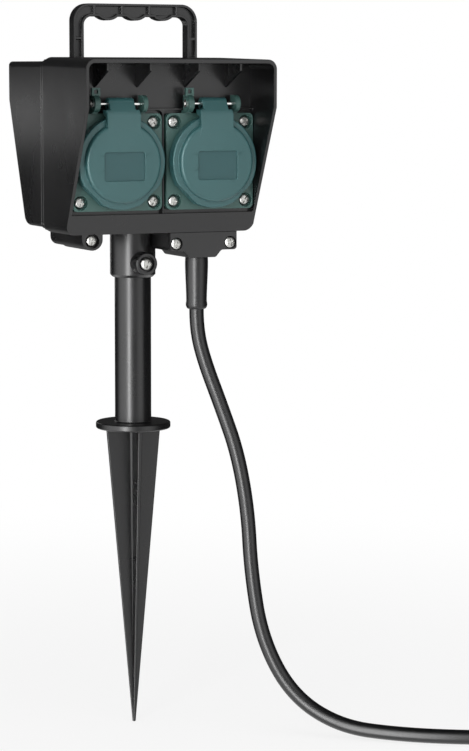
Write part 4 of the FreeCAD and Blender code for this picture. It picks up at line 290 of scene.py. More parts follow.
def moulded(name, colour, roughness, grain=GRAIN_WIDE, grain_depth=0.018 * MM, tone=0.12):
    """Moulded plastic or rubber: even colour with faint flow clouds, and the fine grain of its mould."""
    material, tree, shader = new_material(name)
    place = add_node(tree, "ShaderNodeTexCoord").outputs["Object"]
    clouds = add_node(tree, "ShaderNodeTexNoise", {"Vector": place, "Scale": 1 / CLOUD_WIDE, "Detail": 3.0})
    base = from_hex(colour)
    low = [c * (1 - tone) for c in base[:3]] + [1]
    high = [min(c * (1 + tone), 1) for c in base[:3]] + [1]
    tones = {"Factor": clouds.outputs["Fac"], "A": low, "B": high}
    mix = add_node(tree, "ShaderNodeMix", tones, data_type="RGBA")
    tree.links.new(mix.outputs["Result"], shader.inputs["Base Color"])
    fine = add_node(tree, "ShaderNodeTexNoise", {"Vector": place, "Scale": 1 / grain, "Detail": 2.0})
    rough = add_node(tree, "ShaderNodeMapRange", {
        "Value": clouds.outputs["Fac"], "From Min": 0.3, "From Max": 0.7,
        "To Min": roughness - CLOUD_SWING, "To Max": roughness + CLOUD_SWING})
    tree.links.new(rough.outputs["Result"], shader.inputs["Roughness"])
    bump = add_node(tree, "ShaderNodeBump", {
        "Height": fine.outputs["Fac"], "Distance": grain_depth, "Strength": 1.0})
    tree.links.new(bump.outputs["Normal"], shader.inputs["Normal"])
    shader.inputs["IOR"].default_value = PLASTIC_IOR
    return material


def metal(name, colour, roughness):
    """Plated or bright metal: fine drawn lines along X in the roughness."""
    material, tree, shader = new_material(name)
    place = add_node(tree, "ShaderNodeTexCoord").outputs["Object"]
    lines = add_node(tree, "ShaderNodeMapping", {"Vector": place, "Scale": LINE_STRETCH})
    noise = add_node(tree, "ShaderNodeTexNoise", {
        "Vector": lines.outputs["Vector"], "Scale": 1 / LINE_WIDE, "Detail": 2.0})
    rough = add_node(tree, "ShaderNodeMapRange", {
        "Value": noise.outputs["Fac"], "To Min": roughness - 0.06, "To Max": roughness + 0.08})
    tree.links.new(rough.outputs["Result"], shader.inputs["Roughness"])
    shader.inputs["Base Color"].default_value = from_hex(colour)
    shader.inputs["Metallic"].default_value = 1.0
    return material


def make_finishes():
    """One material for each real finish on the object, by the name of its slot."""
    tint = colours()
    return {
        # Satin black with long soft highlights and hardly any grain
        "black_plastic": moulded("black polyamide, moulded satin", tint.housing, 0.29, grain_depth=0.008 * MM),
        # Even sea green with a broad mild sheen on the rounded rims
        "green_lid_plastic": moulded("green ABS, moulded satin", tint.lid, 0.40, tone=0.06),
        # Greyer and duller than the lids, so that the lids stand off it
        "green_flange_plastic": moulded("grey-green polyamide, moulded", tint.flange, 0.46, tone=0.06),
        # Matt field in the lid with a dense grain, its darker green painted shade of the shallow recess
        "etched_shaded_lid_plastic": moulded(
            "green ABS, etched field", tint.etched_shaded, 0.55, ETCHED_GRAIN_WIDE, 0.02 * MM, tone=0.06),
        # Bright grey heads with a sharp dark cross
        "zinc_steel": metal("zinc plated steel", "#b6b6b3", 0.34),
        # Nearly white line along the hinge pin
        "bright_steel": metal("bright drawn steel", "#d4d4d2", 0.22),
        # Dead black, which swallows the light
        "seal_rubber": moulded("cellular rubber", "#0e0e0e", 0.8),
        # Black with one soft line of light along the lead
        "cord_rubber": moulded("chloroprene rubber, extruded", tint.rubber, 0.33, grain_depth=0.006 * MM),
        # Chalky off-white, seen through the holes of the recess
        "carrier_plastic": moulded("white thermoset, moulded", "#d9d6c8", 0.45),
        # Pale and slightly waxy behind the holes
        "shutter_plastic": moulded("pale polycarbonate, moulded", "#cfccbd", 0.42),
        # Straw-coloured shine on pins and contacts
        "nickel_brass": metal("nickel washed brass", "#cdbf94", 0.3),
        # The three cores are told apart by colour, with a smooth skin
        "brown_insulation": moulded("brown core insulation", "#5a3420", 0.35),
        "blue_insulation": moulded("blue core insulation", "#2b58a5", 0.35),
        "green_yellow_insulation": moulded("green and yellow core insulation", "#93ab2b", 0.35),
    }


def finish_of(slot):
    """Material of a slot, made once."""
    if not FINISHES:
        FINISHES.update(make_finishes())
    return FINISHES[slot]


FINISHES = {}
SLOT_OF_NODE = {part["node"]: part["material_slot"] for part in frame["record"]["subparts"]}
BODY_OF_NODE = {
    node: body for body, nodes in frame["record"]["behaviour"]["bodies"].items() for node in nodes}


# Modelling
def linked(name, data):
    """New object in the scene."""
    piece = bpy.data.objects.new(name, data)
    bpy.context.scene.collection.objects.link(piece)
    return piece


def only(piece):
    """Makes one piece the only selected one."""
    bpy.ops.object.select_all(action="DESELECT")
    piece.select_set(True)
    bpy.context.view_layer.objects.active = piece


def open_up(piece):
    """Makes one piece the only selected one, with all of it selected in edit mode."""
    only(piece)
    bpy.ops.object.mode_set(mode="EDIT")
    bpy.ops.mesh.select_all(action="SELECT")


def put_down():
    """Leaves edit mode with nothing selected."""
    bpy.ops.mesh.select_all(action="DESELECT")
    bpy.ops.object.mode_set(mode="OBJECT")


def whole_copy(node, name):
    """Copy of a solid's mesh, its triangles merged and joined to whole flat faces."""
    piece = linked(name, NODES[node].data.copy())
    only(piece)
    bpy.ops.mesh.customdata_custom_splitnormals_clear()
    open_up(piece)
    bpy.ops.mesh.remove_doubles(threshold=MERGE_WITHIN)
    bpy.ops.mesh.dissolve_limited(angle_limit=math.radians(0.5))
    put_down()
    return piece


def round_edges(piece, width, segments=2, where=None, sharper_than=30):
    """Rounds the sharp edges whose middle passes a test."""
    open_up(piece)
    bpy.ops.mesh.select_mode(type="EDGE")
    bpy.ops.mesh.select_all(action="DESELECT")
    mesh = bmesh.from_edit_mesh(piece.data)
    least = math.radians(sharper_than)
    for edge in mesh.edges:
        if not edge.is_manifold or edge.calc_face_angle() < least:
            continue
        middle = (edge.verts[0].co + edge.verts[1].co) / 2
        if where is None or where(middle):
            edge.select_set(True)
    bmesh.update_edit_mesh(piece.data)
    bpy.ops.mesh.bevel(offset=width, segments=segments, affect="EDGES", clamp_overlap=False)
    bpy.ops.object.mode_set(mode="OBJECT")


def select_verts(piece, test):
    """Selects the vertices that pass a test, in edit mode."""
    bpy.ops.mesh.select_mode(type="VERT")
    bpy.ops.mesh.select_all(action="DESELECT")
    mesh = bmesh.from_edit_mesh(piece.data)
    for vert in mesh.verts:
        if test(vert.co):
            vert.select_set(True)
    bmesh.update_edit_mesh(piece.data)


def lean_rim(piece, from_y, rim_y, inward, on_rim):
    """Cuts a ring into a casing's outside and leans the part behind it inwards, as the draft of its rim."""
    open_up(piece)
    bpy.ops.mesh.bisect(plane_co=(0, from_y, 0), plane_no=(0, 1, 0))
    for side in ((1, 0, 0), (-1, 0, 0), (0, 0, 1), (0, 0, -1)):
        way = Vector(side)
        select_verts(piece, lambda spot: abs(spot.y - rim_y) < 0.02 * MM and on_rim(spot, way))
        bpy.ops.transform.translate(value=-way * inward)
    put_down()


def stand_for(piece, node, smooth_below=35):
    """Finishes a piece's shading and gives it the place, body and finish of the solid it stands for."""
    # Many-sided flat faces with holes shade wrongly, so they are split first
    open_up(piece)
    bpy.ops.mesh.select_all(action="DESELECT")
    bpy.ops.mesh.select_face_by_sides(number=4, type="GREATER")
    bpy.ops.mesh.quads_convert_to_tris()
    put_down()
    bpy.ops.object.shade_smooth_by_angle(angle=math.radians(smooth_below))
    flats = piece.modifiers.new("flat faces", "WEIGHTED_NORMAL")
    flats.keep_sharp = True
    bpy.ops.object.modifier_apply(modifier=flats.name)
    piece.data.materials.clear()
    piece.data.materials.append(finish_of(SLOT_OF_NODE[node]))
    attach(piece, BODY_OF_NODE[node])
    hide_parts(node)


def start_outline(name, spots):
    """Line of edges drawn point by point, left open in edit mode."""
    bpy.ops.object.select_all(action="DESELECT")
    bpy.ops.mesh.primitive_plane_add(size=MM, location=spots[0])
    piece = bpy.context.object
    piece.name = name
    bpy.ops.object.transform_apply(location=True, rotation=True, scale=True)
    bpy.ops.object.mode_set(mode="EDIT")
    bpy.ops.mesh.select_mode(type="VERT")
    bpy.ops.mesh.select_all(action="SELECT")
    bpy.ops.mesh.merge(type="CENTER")
    for here, there in zip(spots, spots[1:]):
        bpy.ops.mesh.extrude_region_move(TRANSFORM_OT_translate={"value": there - here})
    bpy.ops.mesh.select_all(action="SELECT")
    return piece


def close_up():
    """Merges what the last operators left double and turns the faces outwards."""
    bpy.ops.mesh.select_all(action="SELECT")
    bpy.ops.mesh.remove_doubles(threshold=MERGE_WITHIN)
    bpy.ops.mesh.normals_make_consistent(inside=False)
    bpy.ops.object.mode_set(mode="OBJECT")


def turned_piece(name, outline, centre, axis, steps=96):
    """Piece turned round an axis: its outline of radius and place along the axis is drawn and spun."""
    centre = Vector(centre)
    axis = Vector(axis)
    side = Vector((0, 0, 1)) if abs(axis.z) < 0.5 else Vector((1, 0, 0))
    spots = [centre + side * radius + axis * along for radius, along in outline]
    piece = start_outline(name, spots)
    bpy.ops.mesh.spin(steps=steps, angle=2 * math.pi, center=centre, axis=axis)
    close_up()
    return piece


def plate_piece(name, spots, way):
    """Plate of one flat outline, extruded along a way."""
    piece = start_outline(name, spots + spots[:1])
    bpy.ops.mesh.remove_doubles(threshold=MERGE_WITHIN)
    bpy.ops.mesh.edge_face_add()
    bpy.ops.mesh.extrude_region_move(TRANSFORM_OT_translate={"value": way})
    close_up()
    return piece


def block_piece(name, low, high):
    """Block between two corners."""
    low, high = Vector(low), Vector(high)
    bpy.ops.object.select_all(action="DESELECT")
    bpy.ops.mesh.primitive_cube_add(size=1, location=(low + high) / 2, scale=high - low)
    piece = bpy.context.object
    piece.name = name
    bpy.ops.object.transform_apply(location=True, rotation=True, scale=True)
    return piece


def combine(piece, tool, operation="DIFFERENCE"):
    """Cuts a piece with another, joins them or keeps what they share, and removes the other."""
    only(piece)
    step = piece.modifiers.new("tool", "BOOLEAN")
    step.operation = operation
    step.solver = "EXACT"
    step.object = tool
    bpy.ops.object.modifier_apply(modifier=step.name)
    bpy.data.objects.remove(tool)
    return piece


def joined(pieces, name):
    """Joins pieces to one under a new name."""
    bpy.ops.object.select_all(action="DESELECT")
    for piece in pieces:
        piece.select_set(True)
    bpy.context.view_layer.objects.active = pieces[0]
    if len(pieces) > 1:
        bpy.ops.object.join()
    pieces[0].name = name
    return pieces[0]


def copy_of(piece, name, shift, turn=0.0, about=None):
    """Copy with a mesh of its own, turned round the Y direction through a point and moved."""
    copy = linked(name, piece.data.copy())
    about = Vector(about or (0, 0, 0))
    spin = Matrix.Rotation(turn, 4, "Y")
    copy.data.transform(Matrix.Translation(about + Vector(shift)) @ spin @ Matrix.Translation(-about))
    return copy


def arc(centre, radius, start, end, steps):
    """Points of an outline on an arc, angles in degrees from the radius towards the axis."""
    points = []
    for k in range(steps + 1):
        angle = math.radians(start + (end - start) * k / steps)
        points.append((centre[0] + radius * math.cos(angle), centre[1] + radius * math.sin(angle)))
    return points


def in_mm(points):
    """Outline in metres from one in millimetres."""
    return [(radius * MM, along * MM) for radius, along in points]


class MakeCasings(bpy.types.Operator):
    """Rounds the moulded edges of the housings, the cable cover, the pole's socket and the handle."""

    bl_idname = "socket.make_casings"
    bl_label = "Casings"

    def execute(self, context):
        self.front()
        self.rear()
        self.small_parts()
        return {"FINISHED"}

    def front(self):
        """Hood with its panel, sill and cable compartment, drafted beside the seam."""
        low, high = (Vector(corner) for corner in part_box("front_housing"))
        seam_y = high.y

        def on_hood(middle):
            return middle.y < PANEL_Y - MM

        def on_compartment(middle):
            return middle.z < BOTTOM_Z - MM and middle.y < low.y + COMPARTMENT_DEEP and abs(middle.x) > 5 * MM

        def on_rim(spot, way):
            if spot.z < BOTTOM_Z - MM:
                return False
            if way.x:
                return way.x * spot.x > high.x - SKIN
            middle_z = (high.z + BOTTOM_Z) / 2
            return way.z * (spot.z - middle_z) > (high.z - BOTTOM_Z) / 2 - SKIN

        front = whole_copy("front_housing", "moulded_front_housing")
        length, inward = FRONT_DRAFT
        lean_rim(front, seam_y - length, seam_y, inward, on_rim)
        round_edges(front, 0.35 * MM, 2, on_hood)
        round_edges(front, 0.25 * MM, 2, on_compartment)
        stand_for(front, "front_housing")

    def rear(self):
        """Rear casing with its joint band."""
        low, high = (Vector(corner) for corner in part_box("rear_housing"))

        def outside(middle):
            near_side = abs(middle.x) > high.x - SKIN or middle.z > high.z - SKIN
            return near_side or middle.z < low.z + SKIN or middle.y > high.y - SKIN

        def on_rim(spot, way):
            if way.x:
                return way.x * spot.x > high.x - RIM_SKIN
            return spot.z > high.z - RIM_SKIN if way.z > 0 else abs(spot.z - RIM_BOTTOM_Z) < RIM_SKIN

        rear = whole_copy("rear_housing", "moulded_rear_housing")
        length, inward = REAR_DRAFT
        lean_rim(rear, RIM_END_Y - length, RIM_END_Y, inward, on_rim)
        round_edges(rear, 0.45 * MM, 3, outside)
        stand_for(rear, "rear_housing")

    def small_parts(self):
        """Cable cover, pole's socket and handle; narrow webs and screw seats keep their sharp edges."""
        cover_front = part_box("cable_cover")[0][1]
        collar_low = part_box("pole_socket")[0][2]

        def cover_edge(middle):
            off_screws = all(
                math.hypot(middle.x - x, middle.z - BOX_SCREW_Z) > BOX_SCREW_CLEAR for x in BOX_SCREW_XS)
            off_step = math.hypot(middle.x - COVER_STEP[0], middle.z - COVER_STEP[1]) > MM
            return abs(middle.y - cover_front) < 0.01 * MM and off_screws and off_step

        def collar_edge(middle):
            return abs(middle.z - collar_low) < 0.01 * MM and math.hypot(middle.x, middle.y) > TUBE_INSIDE_R

        def grip_edge(middle):
            return not any(low_x < middle.x / MM < high_x and low_z < middle.z / MM < high_z
                           for low_x, high_x, low_z, high_z in GRIP_SLIM)

        work = (("cable_cover", cover_edge), ("pole_socket", collar_edge), ("carry_handle", grip_edge))
        for node, where in work:
            piece = whole_copy(node, "moulded_" + node)
            round_edges(piece, 0.3 * MM, 2, where)
            if node == "pole_socket":
                rim = turned_piece("boss_rim", in_mm(boss_outline()), (0, 0, BOSS_Z), (0, 1, 0), 64)
                piece = joined([piece, rim], piece.name)
            stand_for(piece, node)


def boss_outline():
    """Half section of the clamp screw's boss, radius and y in millimetres."""
    front, back = BOSS_FRONT_Y, BOSS_FRONT_Y + BOSS_SUNK
    outer = arc((BOSS_R - 0.8, front + 0.8), 0.8, 270, 360, 5)
    inner = arc((BOSS_BORE_R + 0.4, front + 0.4), 0.4, 180, 270, 3)
    return inner + outer + [(BOSS_R, back), (BOSS_BORE_R, back), (BOSS_BORE_R, front + 0.4)]


class MakeSpike(bpy.types.Operator):
    """Models the soil spike: two crossed blades, their core, and the turned plate and pole."""

    bl_idname = "socket.make_spike"
    bl_label = "Soil spike"

    def execute(self, context):
        tip_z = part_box("ground_spike")[0][2]
        blade = self.blade("blade", tip_z, BLADE_TOP, BLADE_TIP)
        cross = self.blade("cross_blade", tip_z, BLADE_TOP[::-1], BLADE_TIP[::-1])
        core = self.blade("blade_core", tip_z, CORE_TOP, CORE_TIP)
        core.data.transform(Matrix.Rotation(math.radians(45), 4, "Z"))
        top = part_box("ground_spike")[1][2] / MM
        pole = turned_piece("plate_and_pole", in_mm(pole_outline(top)), (0, 0, 0), (0, 0, 1), 128)
        spike = joined([pole, blade, cross, core], "soil_spike")
        spike.data.transform(Matrix.Rotation(math.radians(SPIKE_TURN), 4, "Z"))
        stand_for(spike, "ground_spike", 32)
        return {"FINISHED"}

    def blade(self, name, tip_z, top, tip):
        """Bar with a rounded edge that narrows from under the plate to the tip, from its half sizes."""
        piece = block_piece(name, (-top[0], -top[1], tip_z), (top[0], top[1], BLADE_SUNK))
        bpy.ops.object.mode_set(mode="EDIT")
        select_verts(piece, lambda spot: spot.z < tip_z + MM)
        narrowing = (tip[0] / top[0], tip[1] / top[1], 1)
        bpy.ops.transform.resize(value=narrowing, center_override=(0, 0, tip_z))
        bpy.ops.object.mode_set(mode="OBJECT")
        round_edges(piece, 0.5 * MM, 4)
        return piece


def pole_outline(top):
    """Half section of the plate and the hollow pole, radius and z in millimetres, from its underside."""
    rim_r = PLATE_R - PLATE_ROUND
    plate = [(0, 0), (15, 0)] + arc((rim_r, PLATE_ROUND), PLATE_ROUND, 270, 360, 6)
    plate += arc((rim_r, PLATE_THICK - PLATE_ROUND), PLATE_ROUND, 0, 90, 6)
    foot = arc((11.85, PLATE_THICK + POLE_FOOT_ROUND), POLE_FOOT_ROUND, 270, 180, 5)
    pole = [(10.8, 7.0), (POLE_R, 9.0), (POLE_R, top - POLE_TIP_BEVEL), (POLE_R - POLE_TIP_BEVEL, top)]
    bore = [(POLE_BORE_R, top), (POLE_BORE_R, POLE_BORE_START), (0, POLE_BORE_START)]
    return plate + foot + pole + bore


class MakeFlanges(bpy.types.Operator):
    """Rounds the edges of the two square flanges with their collars and hinge ears."""

    bl_idname = "socket.make_flanges"
    bl_label = "Flanges"

    def execute(self, context):
        for side in ("left", "right"):
            node = side + "_socket_body"
            low, high = (Vector(corner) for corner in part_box(node))
            reach = (high.x - low.x) / 2
            centre = Vector((low.x + reach, 0, low.z + reach))
            front_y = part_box(side + "_flange_gasket")[0][1] - FLANGE_THICK

            def out_of(middle):
                return max(abs(middle.x - centre.x), abs(middle.z - centre.z))

            def plate_rim(middle):
                below_ears = middle.z < centre.z + EARS_START
                return abs(middle.y - front_y) < 0.1 * MM and out_of(middle) > reach - 1.5 * MM and below_ears

            def seat_rim(middle):
                over, up = abs(middle.x - centre.x) - SCREW_OUT, abs(middle.z - centre.z) - SCREW_OUT
                return abs(middle.y - front_y) < 0.1 * MM and math.hypot(over, up) < SEAT_R

            def collar_rim(middle):
                return middle.y < front_y - COLLAR_OUT

            flange = whole_copy(node, side + "_flange")
            round_edges(flange, 0.32 * MM, 3, plate_rim)
            round_edges(flange, 0.15 * MM, 2, seat_rim)
            round_edges(flange, 0.25 * MM, 2, collar_rim)
            stand_for(flange, node)
        return {"FINISHED"}


class MakeLids(bpy.types.Operator):
    """Models one hinged lid: turned cup, plain field, tongue, hinge barrel and soft seal; then its copy."""

    bl_idname = "socket.make_lids"
    bl_label = "Lids"

    def execute(self, context):
        low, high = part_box("right_lid_seal")
        centre = Vector(((low[0] + high[0]) / 2, 0, (low[2] + high[2]) / 2))
        cup = turned_piece("lid_cup", in_mm(lid_outline()), centre, (0, 1, 0), 120)
        self.cut_corners(cup, centre)
        self.cut_window(cup, centre)
        tongue = self.tongue(centre)
        lid = joined([cup, tongue], "right_hinged_lid")
        twin = copy_of(lid, "left_hinged_lid", (-2 * centre.x, 0, 0))
        stand_for(lid, "right_lid", 28)
        stand_for(twin, "left_lid", 28)
        self.etch_and_shade_window(lid, centre)
        self.etch_and_shade_window(twin, centre - Vector((2 * centre.x, 0, 0)))
        outline = seal_outline((high[0] - low[0]) / 2 / MM, low[1] / MM, high[1] / MM)
        seal = turned_piece("right_soft_seal", in_mm(outline), centre, (0, 1, 0), 96)
        other = copy_of(seal, "left_soft_seal", (-2 * centre.x, 0, 0))
        stand_for(seal, "right_lid_seal")
        stand_for(other, "left_lid_seal")
        return {"FINISHED"}

    def etch_and_shade_window(self, lid, centre):
        """The floor of the field has the denser grain of an etching in the mould, and a darker green painted on
        it as the shade of its recess.
        """
        lid.data.materials.append(finish_of("etched_shaded_lid_plastic"))
        floor_y = (LID_CROWN_Y + WINDOW_DEEP) * MM
        for face in lid.data.polygons:
            spot = face.center - centre + Vector((0, 0, WINDOW_DROP))
            inside = abs(spot.x) < WINDOW_WIDE / 2 and abs(spot.z) < WINDOW_HIGH / 2
            if inside and abs(face.center.y - floor_y) < 0.02 * MM:
                face.material_index = 1

    def cut_corners(self, cup, centre):
        """The skirt is straight at its two lower corners."""
        angles = [math.radians(-90 + turn * LID_CHORD_TURN) for turn in (-1, 1)]
        ways = [Vector((math.cos(angle), 0, math.sin(angle))) for angle in angles]
        for way in ways:
            open_up(cup)
            bpy.ops.mesh.bisect(plane_co=centre + way * LID_CHORD, plane_no=way, use_fill=True, clear_outer=True)
            put_down()

        def on_chord(middle):
            spot = middle - centre
            low_down = spot.z < -0.4 * LID_CHORD
            return low_down and any(abs(way.dot(spot) - LID_CHORD) < 0.02 * MM for way in ways)

        round_edges(cup, 0.35 * MM, 2, on_chord, 15)

    def cut_window(self, cup, centre):
        """Shallow plain field in the dome."""
        reach = Vector((WINDOW_WIDE / 2, 0, WINDOW_HIGH / 2))
        middle = centre - Vector((0, 0, WINDOW_DROP))
        front = Vector((0, (LID_CROWN_Y - 2) * MM, 0))
        back = Vector((0, (LID_CROWN_Y + WINDOW_DEEP) * MM, 0))
        block = block_piece("window_block", middle - reach + front, middle + reach + back)

        def at_corner(spot):
            over, up = abs(spot.x - middle.x) - reach.x, abs(spot.z - middle.z) - reach.z
            return abs(over) < 0.01 * MM and abs(up) < 0.01 * MM

        def at_mouth(spot):
            over, up = abs(spot.x - middle.x) - reach.x, abs(spot.z - middle.z) - reach.z
            return spot.y < back.y - 0.2 * MM and max(over, up) < 0.1 * MM

        round_edges(block, WINDOW_CORNER_R, 5, at_corner)
        combine(cup, block)
        round_edges(cup, 0.3 * MM, 3, at_mouth, 40)

    def tongue(self, centre):
        """Tongue with its flared foot sunk in the dome, and the hinge barrel on top."""
        side = [Vector((centre.x - TONGUE_ROOM, y * MM, z * MM)) for y, z in TONGUE_SIDE]
        slab = plate_piece("tongue_slab", side, Vector((2 * TONGUE_ROOM, 0, 0)))
        halves = [(-out, z) for out, z in TONGUE_FRONT] + list(TONGUE_FRONT[::-1])
        front = [Vector((centre.x + out * MM, -60 * MM, z * MM)) for out, z in halves]
        mask = plate_piece("tongue_mask", front, Vector((0, 20 * MM, 0)))
        tongue = combine(slab, mask, "INTERSECT")
        round_edges(tongue, 0.45 * MM, 3, None, 25)
        half, bevel = BARREL_WIDE / 2, BARREL_BEVEL
        outline = [(PIN_WAY_R, -half), (BARREL_R - bevel, -half), (BARREL_R, bevel - half),
                   (BARREL_R, half - bevel), (BARREL_R - bevel, half), (PIN_WAY_R, half), (PIN_WAY_R, -half)]
        axis_point = Vector((centre.x, HINGE_Y, HINGE_Z))
        barrel = turned_piece("hinge_barrel", outline, axis_point, (1, 0, 0), 48)
        room, reach, deep = SPRING_ROOM / 2, SPRING_ROOM_REACH, SPRING_ROOM_HALF
        pocket = block_piece("spring_room", axis_point + Vector((-room, -deep, -reach)),
                             axis_point + Vector((room, reach, deep)))
        combine(barrel, pocket)
        leg_way = block_piece("leg_room", axis_point + Vector((-room, 0, 0)),
                              axis_point + Vector((room, reach, reach)))
        combine(barrel, leg_way)
        return joined([tongue, barrel], "lid_tongue")


def seal_outline(outer, front, back):
    """Section of a lid's soft seal, radius and y in millimetres, with round lips."""
    inner = outer - SEAL_WIDE
    lip = SEAL_LIP_R
    ring = (arc((outer - lip, front + lip), lip, 270, 360, 4) + arc((outer - lip, back - lip), lip, 0, 90, 4)
            + arc((inner + lip, back - lip), lip, 90, 180, 4) + arc((inner + lip, front + lip), lip, 180, 270, 4))
    return ring + ring[:1]


def lid_outline():
    """Half section of a lid, radius and y in millimetres, from the crown round the skirt to the inside."""
    crown = [(0.0, LID_CROWN_Y), (7.0, LID_CROWN_Y + 0.13), (13.0, LID_CROWN_Y + 0.44),
             (17.5, LID_CROWN_Y + 0.80), (20.4, LID_CROWN_Y + 1.10)]
    rim = arc((20.7, -54.05), 2.3, 270, 360, 6)
    foot = arc((23.5, -53.5), 0.5, 180, 90, 3)
    edge = arc((25.6, -52.1), 0.9, 270, 360, 4)
    back = arc((26.1, -47.3), 0.4, 0, 90, 2)
    inside = [(24.1, -46.9), (23.9, -47.1), (23.9, -52.1), (22.6, -52.1), (22.6, -53.3), (0.0, -53.3)]
    return crown + rim + foot + edge + back + inside


class MakeScrews(bpy.types.Operator):
    """Models a screw with a domed head and a cross recess, and sets one in each place."""

    bl_idname = "socket.make_screws"
    bl_label = "Screws"

    def execute(self, context):
        head_r, head_high, _ = PAN_SCREW
        work = []
        for side in ("left", "right"):
            low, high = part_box(side + "_flange_screws")
            places = [(x, low[1], z) for x in (low[0] + head_r, high[0] - head_r)
                      for z in (low[2] + head_r, high[2] - head_r)]
            work.append((side + "_flange_screws", side + "_bright_screws", places))
        self.set_in(PAN_SCREW, FLANGE_SHANK, work)
        low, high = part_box("housing_screws")
        places = [(low[0] + head_r, high[1] - HOUSING_SHANK - head_high, high[2] - head_r),
                  (high[0] - head_r, low[1], low[2] + head_r)]
        self.set_in(PAN_SCREW, HOUSING_SHANK, [("housing_screws", "long_bright_screws", places)])
        self.set_in(PAN_SCREW, COVER_SHANK, [("cover_screw", "cover_bright_screw", self.head_of("cover_screw"))])
        low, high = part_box("clamp_screw")
        shank = high[1] - low[1] - CLAMP_SCREW[1]
        self.set_in(CLAMP_SCREW, shank, [("clamp_screw", "clamp_bright_screw", self.head_of("clamp_screw"))])
        return {"FINISHED"}

    def head_of(self, node):
        """Place of a single screw: the middle of its head, at its front."""
        low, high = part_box(node)
        return [((low[0] + high[0]) / 2, low[1], (low[2] + high[2]) / 2)]

    def screw(self, kind, length):
        """Screw with the middle of its head's front at the origin, its shank along +Y."""
        head_r, head_high, shank_r = kind
        dome = ((0, 0), (0.35, 0.03), (0.62, 0.13), (0.84, 0.34), (0.96, 0.62), (1, 0.85), (1, 1))
        outline = [(out * head_r, back * head_high) for out, back in dome]
        end = head_high + length
        outline += [(shank_r, head_high), (shank_r, end), (0, end)]
        screw = turned_piece("model_screw", outline, (0, 0, 0), (0, 1, 0), 40)
        long_way, wide = RECESS_LONG * head_r, RECESS_WIDE * head_r
        for turn in (0, 90):
            low, high = (-long_way, -MM, -wide), (long_way, RECESS_DEEP * head_high, wide)
            blade = block_piece("recess_blade", low, high)
            blade.data.transform(Matrix.Rotation(math.radians(turn), 4, "Y"))
            combine(screw, blade)
        return screw

    def set_in(self, kind, length, work):
        """Models one screw and sets copies of it, each stopped at another angle, joined to one piece a node."""
        screw = self.screw(kind, length)
        for node, name, places in work:
            copies = []
            for k, spot in enumerate(places):
                turn = math.radians((37 * k * k + 23 * k + 15) % 90)
                copies.append(copy_of(screw, name, spot, turn))
            stand_for(joined(copies, name), node)
        bpy.data.objects.remove(screw)


class MakeBoot(bpy.types.Operator):
    """Turns the rubber boot: a soft taper from the compartment to a bead round the lead."""

    bl_idname = "socket.make_boot"
    bl_label = "Rubber boot"

    def execute(self, context):
        low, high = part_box("cable_boot")
        centre = ((low[0] + high[0]) / 2, (low[1] + high[1]) / 2, 0)
        boot = turned_piece("rubber_boot", in_mm(boot_outline()), centre, (0, 0, 1), 64)
        stand_for(boot, "cable_boot", 40)
        return {"FINISHED"}


def boot_outline():
    """Half section of the boot, radius and height in millimetres."""
    bead = [(4.3, 72.35), (4.85, 72.4), (5.35, 72.65), (5.8, 73.2), (6.15, 74.0), (6.3, 74.9), (6.28, 75.7),
            (6.1, 76.4), (6.02, 77.4)]
    sleeve = [(6.04, 79.0), (6.12, 82.0), (6.28, 86.0), (6.46, 90.0), (6.62, 94.0), (6.72, 97.5), (6.74, 100.0),
              (6.66, 102.2), (6.45, 104.0), (6.2, 105.0)]
    foot = [(7.3, 105.0), (7.6, 105.3), (7.6, 107.2), (4.3, 107.2), (4.3, 72.35)]
    return bead + sleeve + foot


class DressNodes(bpy.types.Operator):
    """Gives every CAD node that stays in sight its real finish."""

    bl_idname = "socket.dress_nodes"
    bl_label = "Finish the solids"

    def execute(self, context):
        for name, node in NODES.items():
            material = finish_of(SLOT_OF_NODE[name])
            for slot in node.material_slots:
                slot.material = material
            if not node.material_slots:
                node.data.materials.append(material)
        return {"FINISHED"}


class MakeStage(bpy.types.Operator):
    """Makes the pale floor, the soft studio light and the camera at the photo's angle."""

    bl_idname = "socket.make_stage"
    bl_label = "Stage"

    def execute(self, context):
        make_floor()
        make_world()
        make_lamps()
        make_camera()
        context.scene.view_settings.view_transform = "Standard"
        return {"FINISHED"}


